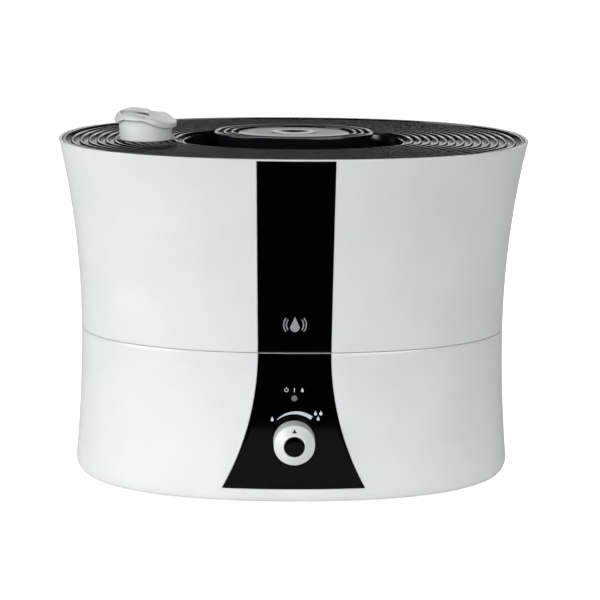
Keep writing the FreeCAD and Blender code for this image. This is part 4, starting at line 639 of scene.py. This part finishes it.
def material(name, colour, roughness, **sockets):
    """A principled material; further sockets are named with underscores."""
    made = bpy.data.materials.new(name)
    made.use_nodes = True
    shader = made.node_tree.nodes["Principled BSDF"]
    shader.inputs["Base Color"].default_value = (*colour, 1)
    shader.inputs["Roughness"].default_value = roughness
    for socket, value in sockets.items():
        shader.inputs[socket.replace("_", " ")].default_value = value
    return made


def add_node(tree, kind, **values):
    """A shader node with some of its inputs set."""
    node = tree.nodes.new(kind)
    for key, value in values.items():
        node.inputs[key.replace("_", " ")].default_value = value
    return node


def noise(tree, scale, detail=3.0):
    """Noise in the object's own coordinates, scale in features per metre."""
    coordinates = tree.nodes.new("ShaderNodeTexCoord")
    texture = add_node(tree, "ShaderNodeTexNoise", Scale=scale, Detail=detail)
    tree.links.new(coordinates.outputs["Object"], texture.inputs["Vector"])
    return texture


def vary_roughness(made, scale, low, high):
    """Roughness that drifts between low and high."""
    tree = made.node_tree
    texture = noise(tree, scale)
    spread_map = add_node(tree, "ShaderNodeMapRange", To_Min=low, To_Max=high)
    tree.links.new(texture.outputs["Fac"], spread_map.inputs["Value"])
    tree.links.new(spread_map.outputs["Result"], tree.nodes["Principled BSDF"].inputs["Roughness"])


def vary_colour(made, scale, dark, light):
    """Colour that drifts between dark and light."""
    tree = made.node_tree
    texture = noise(tree, scale)
    ramp = tree.nodes.new("ShaderNodeValToRGB")
    ramp.color_ramp.elements[0].position = 0.35
    ramp.color_ramp.elements[1].position = 0.65
    ramp.color_ramp.elements[0].color = (*dark, 1)
    ramp.color_ramp.elements[1].color = (*light, 1)
    tree.links.new(texture.outputs["Fac"], ramp.inputs["Fac"])
    tree.links.new(ramp.outputs["Color"], tree.nodes["Principled BSDF"].inputs["Base Color"])


def add_bump(made, scale, distance):
    """A fine grain, distance metres deep."""
    tree = made.node_tree
    texture = noise(tree, scale, 2.0)
    bump = add_node(tree, "ShaderNodeBump", Distance=distance, Strength=1.0)
    tree.links.new(texture.outputs["Fac"], bump.inputs["Height"])
    tree.links.new(bump.outputs["Normal"], tree.nodes["Principled BSDF"].inputs["Normal"])


def moulded(name, colour, roughness, grain=900.0, depth=0.00004, **sockets):
    """Moulded plastic: faint colour drift, uneven gloss and a fine grain."""
    made = material(name, colour, roughness, **sockets)
    dark = tuple(c * 0.97 for c in colour)
    light = tuple(min(c * 1.02, 1.0) for c in colour)
    vary_colour(made, 18.0, dark, light)
    vary_roughness(made, 60.0, roughness * 0.88, roughness * 1.12)
    add_bump(made, grain, depth)
    return made


def smooth_black(name, colour, roughness):
    """Polished black plastic with uneven gloss and no grain."""
    made = material(name, colour, roughness)
    vary_roughness(made, 25.0, roughness * 0.8, roughness * 1.3)
    return made


MATERIALS = {
    "white_shell": moulded("white_gloss", (0.80, 0.81, 0.815), 0.22, grain=140.0, depth=0.00002),
    "white_nozzle": moulded("white_satin", (0.78, 0.79, 0.79), 0.34, grain=700.0, depth=0.00002),
    "white_knob": moulded("white_knob", (0.78, 0.79, 0.79), 0.32, grain=700.0, depth=0.00002),
    "black_panel": moulded("black_gloss", (0.0005, 0.0005, 0.0006), 0.06, grain=90.0, depth=0.00001,
                           Specular_IOR_Level=0.15),
    "black_cover": smooth_black("black_cover", (0.005, 0.0056, 0.0066), 0.15),
    "print_ink": moulded("print_ink", (0.62, 0.66, 0.70), 0.5),
    "print_grey": moulded("print_grey", (0.30, 0.31, 0.33), 0.5),
    "smoked_lens": moulded("smoked_lens", (0.16, 0.17, 0.165), 0.25),
    "grey_plastic": moulded("grey_plastic", (0.42, 0.44, 0.46), 0.42),
    "natural_plastic": moulded("natural_plastic", (0.70, 0.72, 0.72), 0.38),
    "clear_tube": moulded("clear_tube", (0.66, 0.70, 0.72), 0.2),
    "black_plastic": moulded("black_plastic", (0.02, 0.02, 0.022), 0.45),
    "rubber": moulded("rubber", (0.022, 0.022, 0.023), 0.75),
    "silicone": moulded("silicone", (0.62, 0.62, 0.60), 0.6),
    "steel": moulded("steel", (0.55, 0.55, 0.56), 0.32, Metallic=1.0),
    "aluminium": moulded("aluminium", (0.68, 0.69, 0.71), 0.38, Metallic=1.0),
    "ceramic": moulded("ceramic", (0.62, 0.60, 0.52), 0.3, Metallic=1.0),
    "board": moulded("board", (0.015, 0.12, 0.04), 0.4),
    "copper_winding": moulded("copper_winding", (0.55, 0.24, 0.09), 0.35, Metallic=0.8),
    "magnet": moulded("magnet", (0.06, 0.06, 0.065), 0.6),
    "float_foam": moulded("float_foam", (0.78, 0.76, 0.68), 0.65),
}
SLOT_OF = {entry["node"]: entry["material_slot"] for entry in frame["record"]["subparts"]}


def paint(piece, slot_name):
    """Gives the piece its slot's material and no other."""
    piece.data.materials.clear()
    piece.data.materials.append(MATERIALS[slot_name])


for node_name, node in frame["nodes"].items():
    paint(node, SLOT_OF[node_name])


def stand_in(piece, node_name, body):
    """The piece stands for a CAD node and takes its material."""
    paint(piece, SLOT_OF[node_name])
    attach(piece, body)
    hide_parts(node_name)


stand_in(tank_shell(), "tank_shell", "tank")
stand_in(base_shell(), "base_shell", "base")
stand_in(panel("upper_panel_skin", TANK_BOTTOM + 0.2, PANEL_TOP), "upper_panel", "tank")
stand_in(panel("lower_panel_skin", LIP_TOP + 0.2, BASE_TOP - 0.2), "lower_panel", "base")
stand_in(top_cover(), "top_cover", "cover")
stand_in(grip_disc(), "grip_disc", "cover")
stand_in(nozzle(), "nozzle", "nozzle")
stand_in(knob_body(), "knob_body", "knob")
stand_in(knob_cap(), "knob_cap", "knob")


# ---------------------------------------------------------------- stage, lights, camera

def floor():
    """A white table that ends a little in front of the object, as a product table does."""
    bpy.ops.mesh.primitive_plane_add(size=1.0)
    plane = bpy.context.object
    plane.name = "floor"
    front, back, side = -0.372, 3.0, 3.0
    plane.scale = (2 * side, back - front, 1)
    plane.location = (0, (front + back) / 2, 0)
    white = material("pale_floor", (0.85, 0.85, 0.85), 0.8, Specular_IOR_Level=0.0)
    tree = white.node_tree
    shader = tree.nodes["Principled BSDF"]
    shader.inputs["Emission Color"].default_value = (1, 1, 1, 1)
    path = tree.nodes.new("ShaderNodeLightPath")
    glow = add_node(tree, "ShaderNodeMapRange", To_Min=0.12, To_Max=0.98)
    tree.links.new(path.outputs["Is Camera Ray"], glow.inputs["Value"])
    tree.links.new(glow.outputs["Result"], shader.inputs["Emission Strength"])
    plane.data.materials.append(white)


def area_light(name, location, target, width, height, power):
    """A rectangular lamp that faces the target."""
    light = bpy.data.lights.new(name, "AREA")
    light.shape = "RECTANGLE"
    light.size = width
    light.size_y = height
    light.energy = power
    lamp = bpy.data.objects.new(name, light)
    lamp.location = location
    lamp.rotation_euler = (Vector(target) - Vector(location)).to_track_quat("-Z", "Y").to_euler()
    bpy.context.scene.collection.objects.link(lamp)


def world_light():
    """White to look at. As light it is bright behind and above, and dark in front."""
    world = bpy.data.worlds.new("studio")
    world.use_nodes = True
    tree = world.node_tree
    background = tree.nodes["Background"]
    seen = tree.nodes.new("ShaderNodeBackground")
    seen.inputs["Strength"].default_value = 1.0
    seen.inputs["Color"].default_value = (1, 1, 1, 1)
    coordinates = tree.nodes.new("ShaderNodeTexCoord")
    split = tree.nodes.new("ShaderNodeSeparateXYZ")
    tree.links.new(coordinates.outputs["Generated"], split.inputs["Vector"])
    behind = add_node(tree, "ShaderNodeMapRange", From_Min=-0.1, From_Max=0.6, To_Min=0.02, To_Max=0.9)
    behind.interpolation_type = "SMOOTHSTEP"
    tree.links.new(split.outputs["Y"], behind.inputs["Value"])
    above = add_node(tree, "ShaderNodeMapRange", From_Min=0.3, From_Max=0.9, To_Min=0.0, To_Max=0.5)
    above.interpolation_type = "SMOOTHSTEP"
    tree.links.new(split.outputs["Z"], above.inputs["Value"])
    total = tree.nodes.new("ShaderNodeMath")
    total.operation = "ADD"
    tree.links.new(behind.outputs["Result"], total.inputs[0])
    tree.links.new(above.outputs["Result"], total.inputs[1])
    tree.links.new(total.outputs["Value"], background.inputs["Strength"])
    path = tree.nodes.new("ShaderNodeLightPath")
    mix = tree.nodes.new("ShaderNodeMixShader")
    tree.links.new(path.outputs["Is Camera Ray"], mix.inputs["Fac"])
    tree.links.new(background.outputs["Background"], mix.inputs[1])
    tree.links.new(seen.outputs["Background"], mix.inputs[2])
    tree.links.new(mix.outputs["Shader"], tree.nodes["World Output"].inputs["Surface"])
    bpy.context.scene.world = world


def camera():
    """The viewpoint of a product shot: a long lens, a little above the top cover."""
    data = bpy.data.cameras.new("camera")
    data.sensor_width = 36.0
    data.lens = 145.0
    view = bpy.data.objects.new("camera", data)
    forward = Vector((0.02210, 0.97686, -0.21273)).normalized()
    right = forward.cross(Vector((0, 0, 1))).normalized()
    up = right.cross(forward)
    roll = math.radians(0.506)
    up_rolled = up * math.cos(roll) - right * math.sin(roll)
    right_rolled = forward.cross(up_rolled)
    turn = Matrix((right_rolled, up_rolled, -forward)).transposed()
    view.rotation_mode = "QUATERNION"
    view.rotation_quaternion = turn.to_quaternion()
    view.location = (-0.03386, -1.74245 + CENTRE_Y * MM, 0.50813)
    bpy.context.scene.collection.objects.link(view)
    bpy.context.scene.camera = view


floor()
world_light()
body_middle, cover_middle = (0, 0, 0.14), (0, 0, 0.25)
area_light("key_left", (-1.7, -1.1, 0.7), body_middle, 1.3, 1.56, 35.0)
area_light("fill_right", (0.95, -1.75, 0.75), body_middle, 1.2, 1.2, 22.0)
area_light("strip_behind", (0.25, 1.7, 0.95), cover_middle, 2.4, 0.5, 8.0)
area_light("strip_low", (0.05, 1.7, 0.62), cover_middle, 1.6, 0.3, 1.3)
camera()
bpy.context.scene.view_settings.view_transform = "Standard"
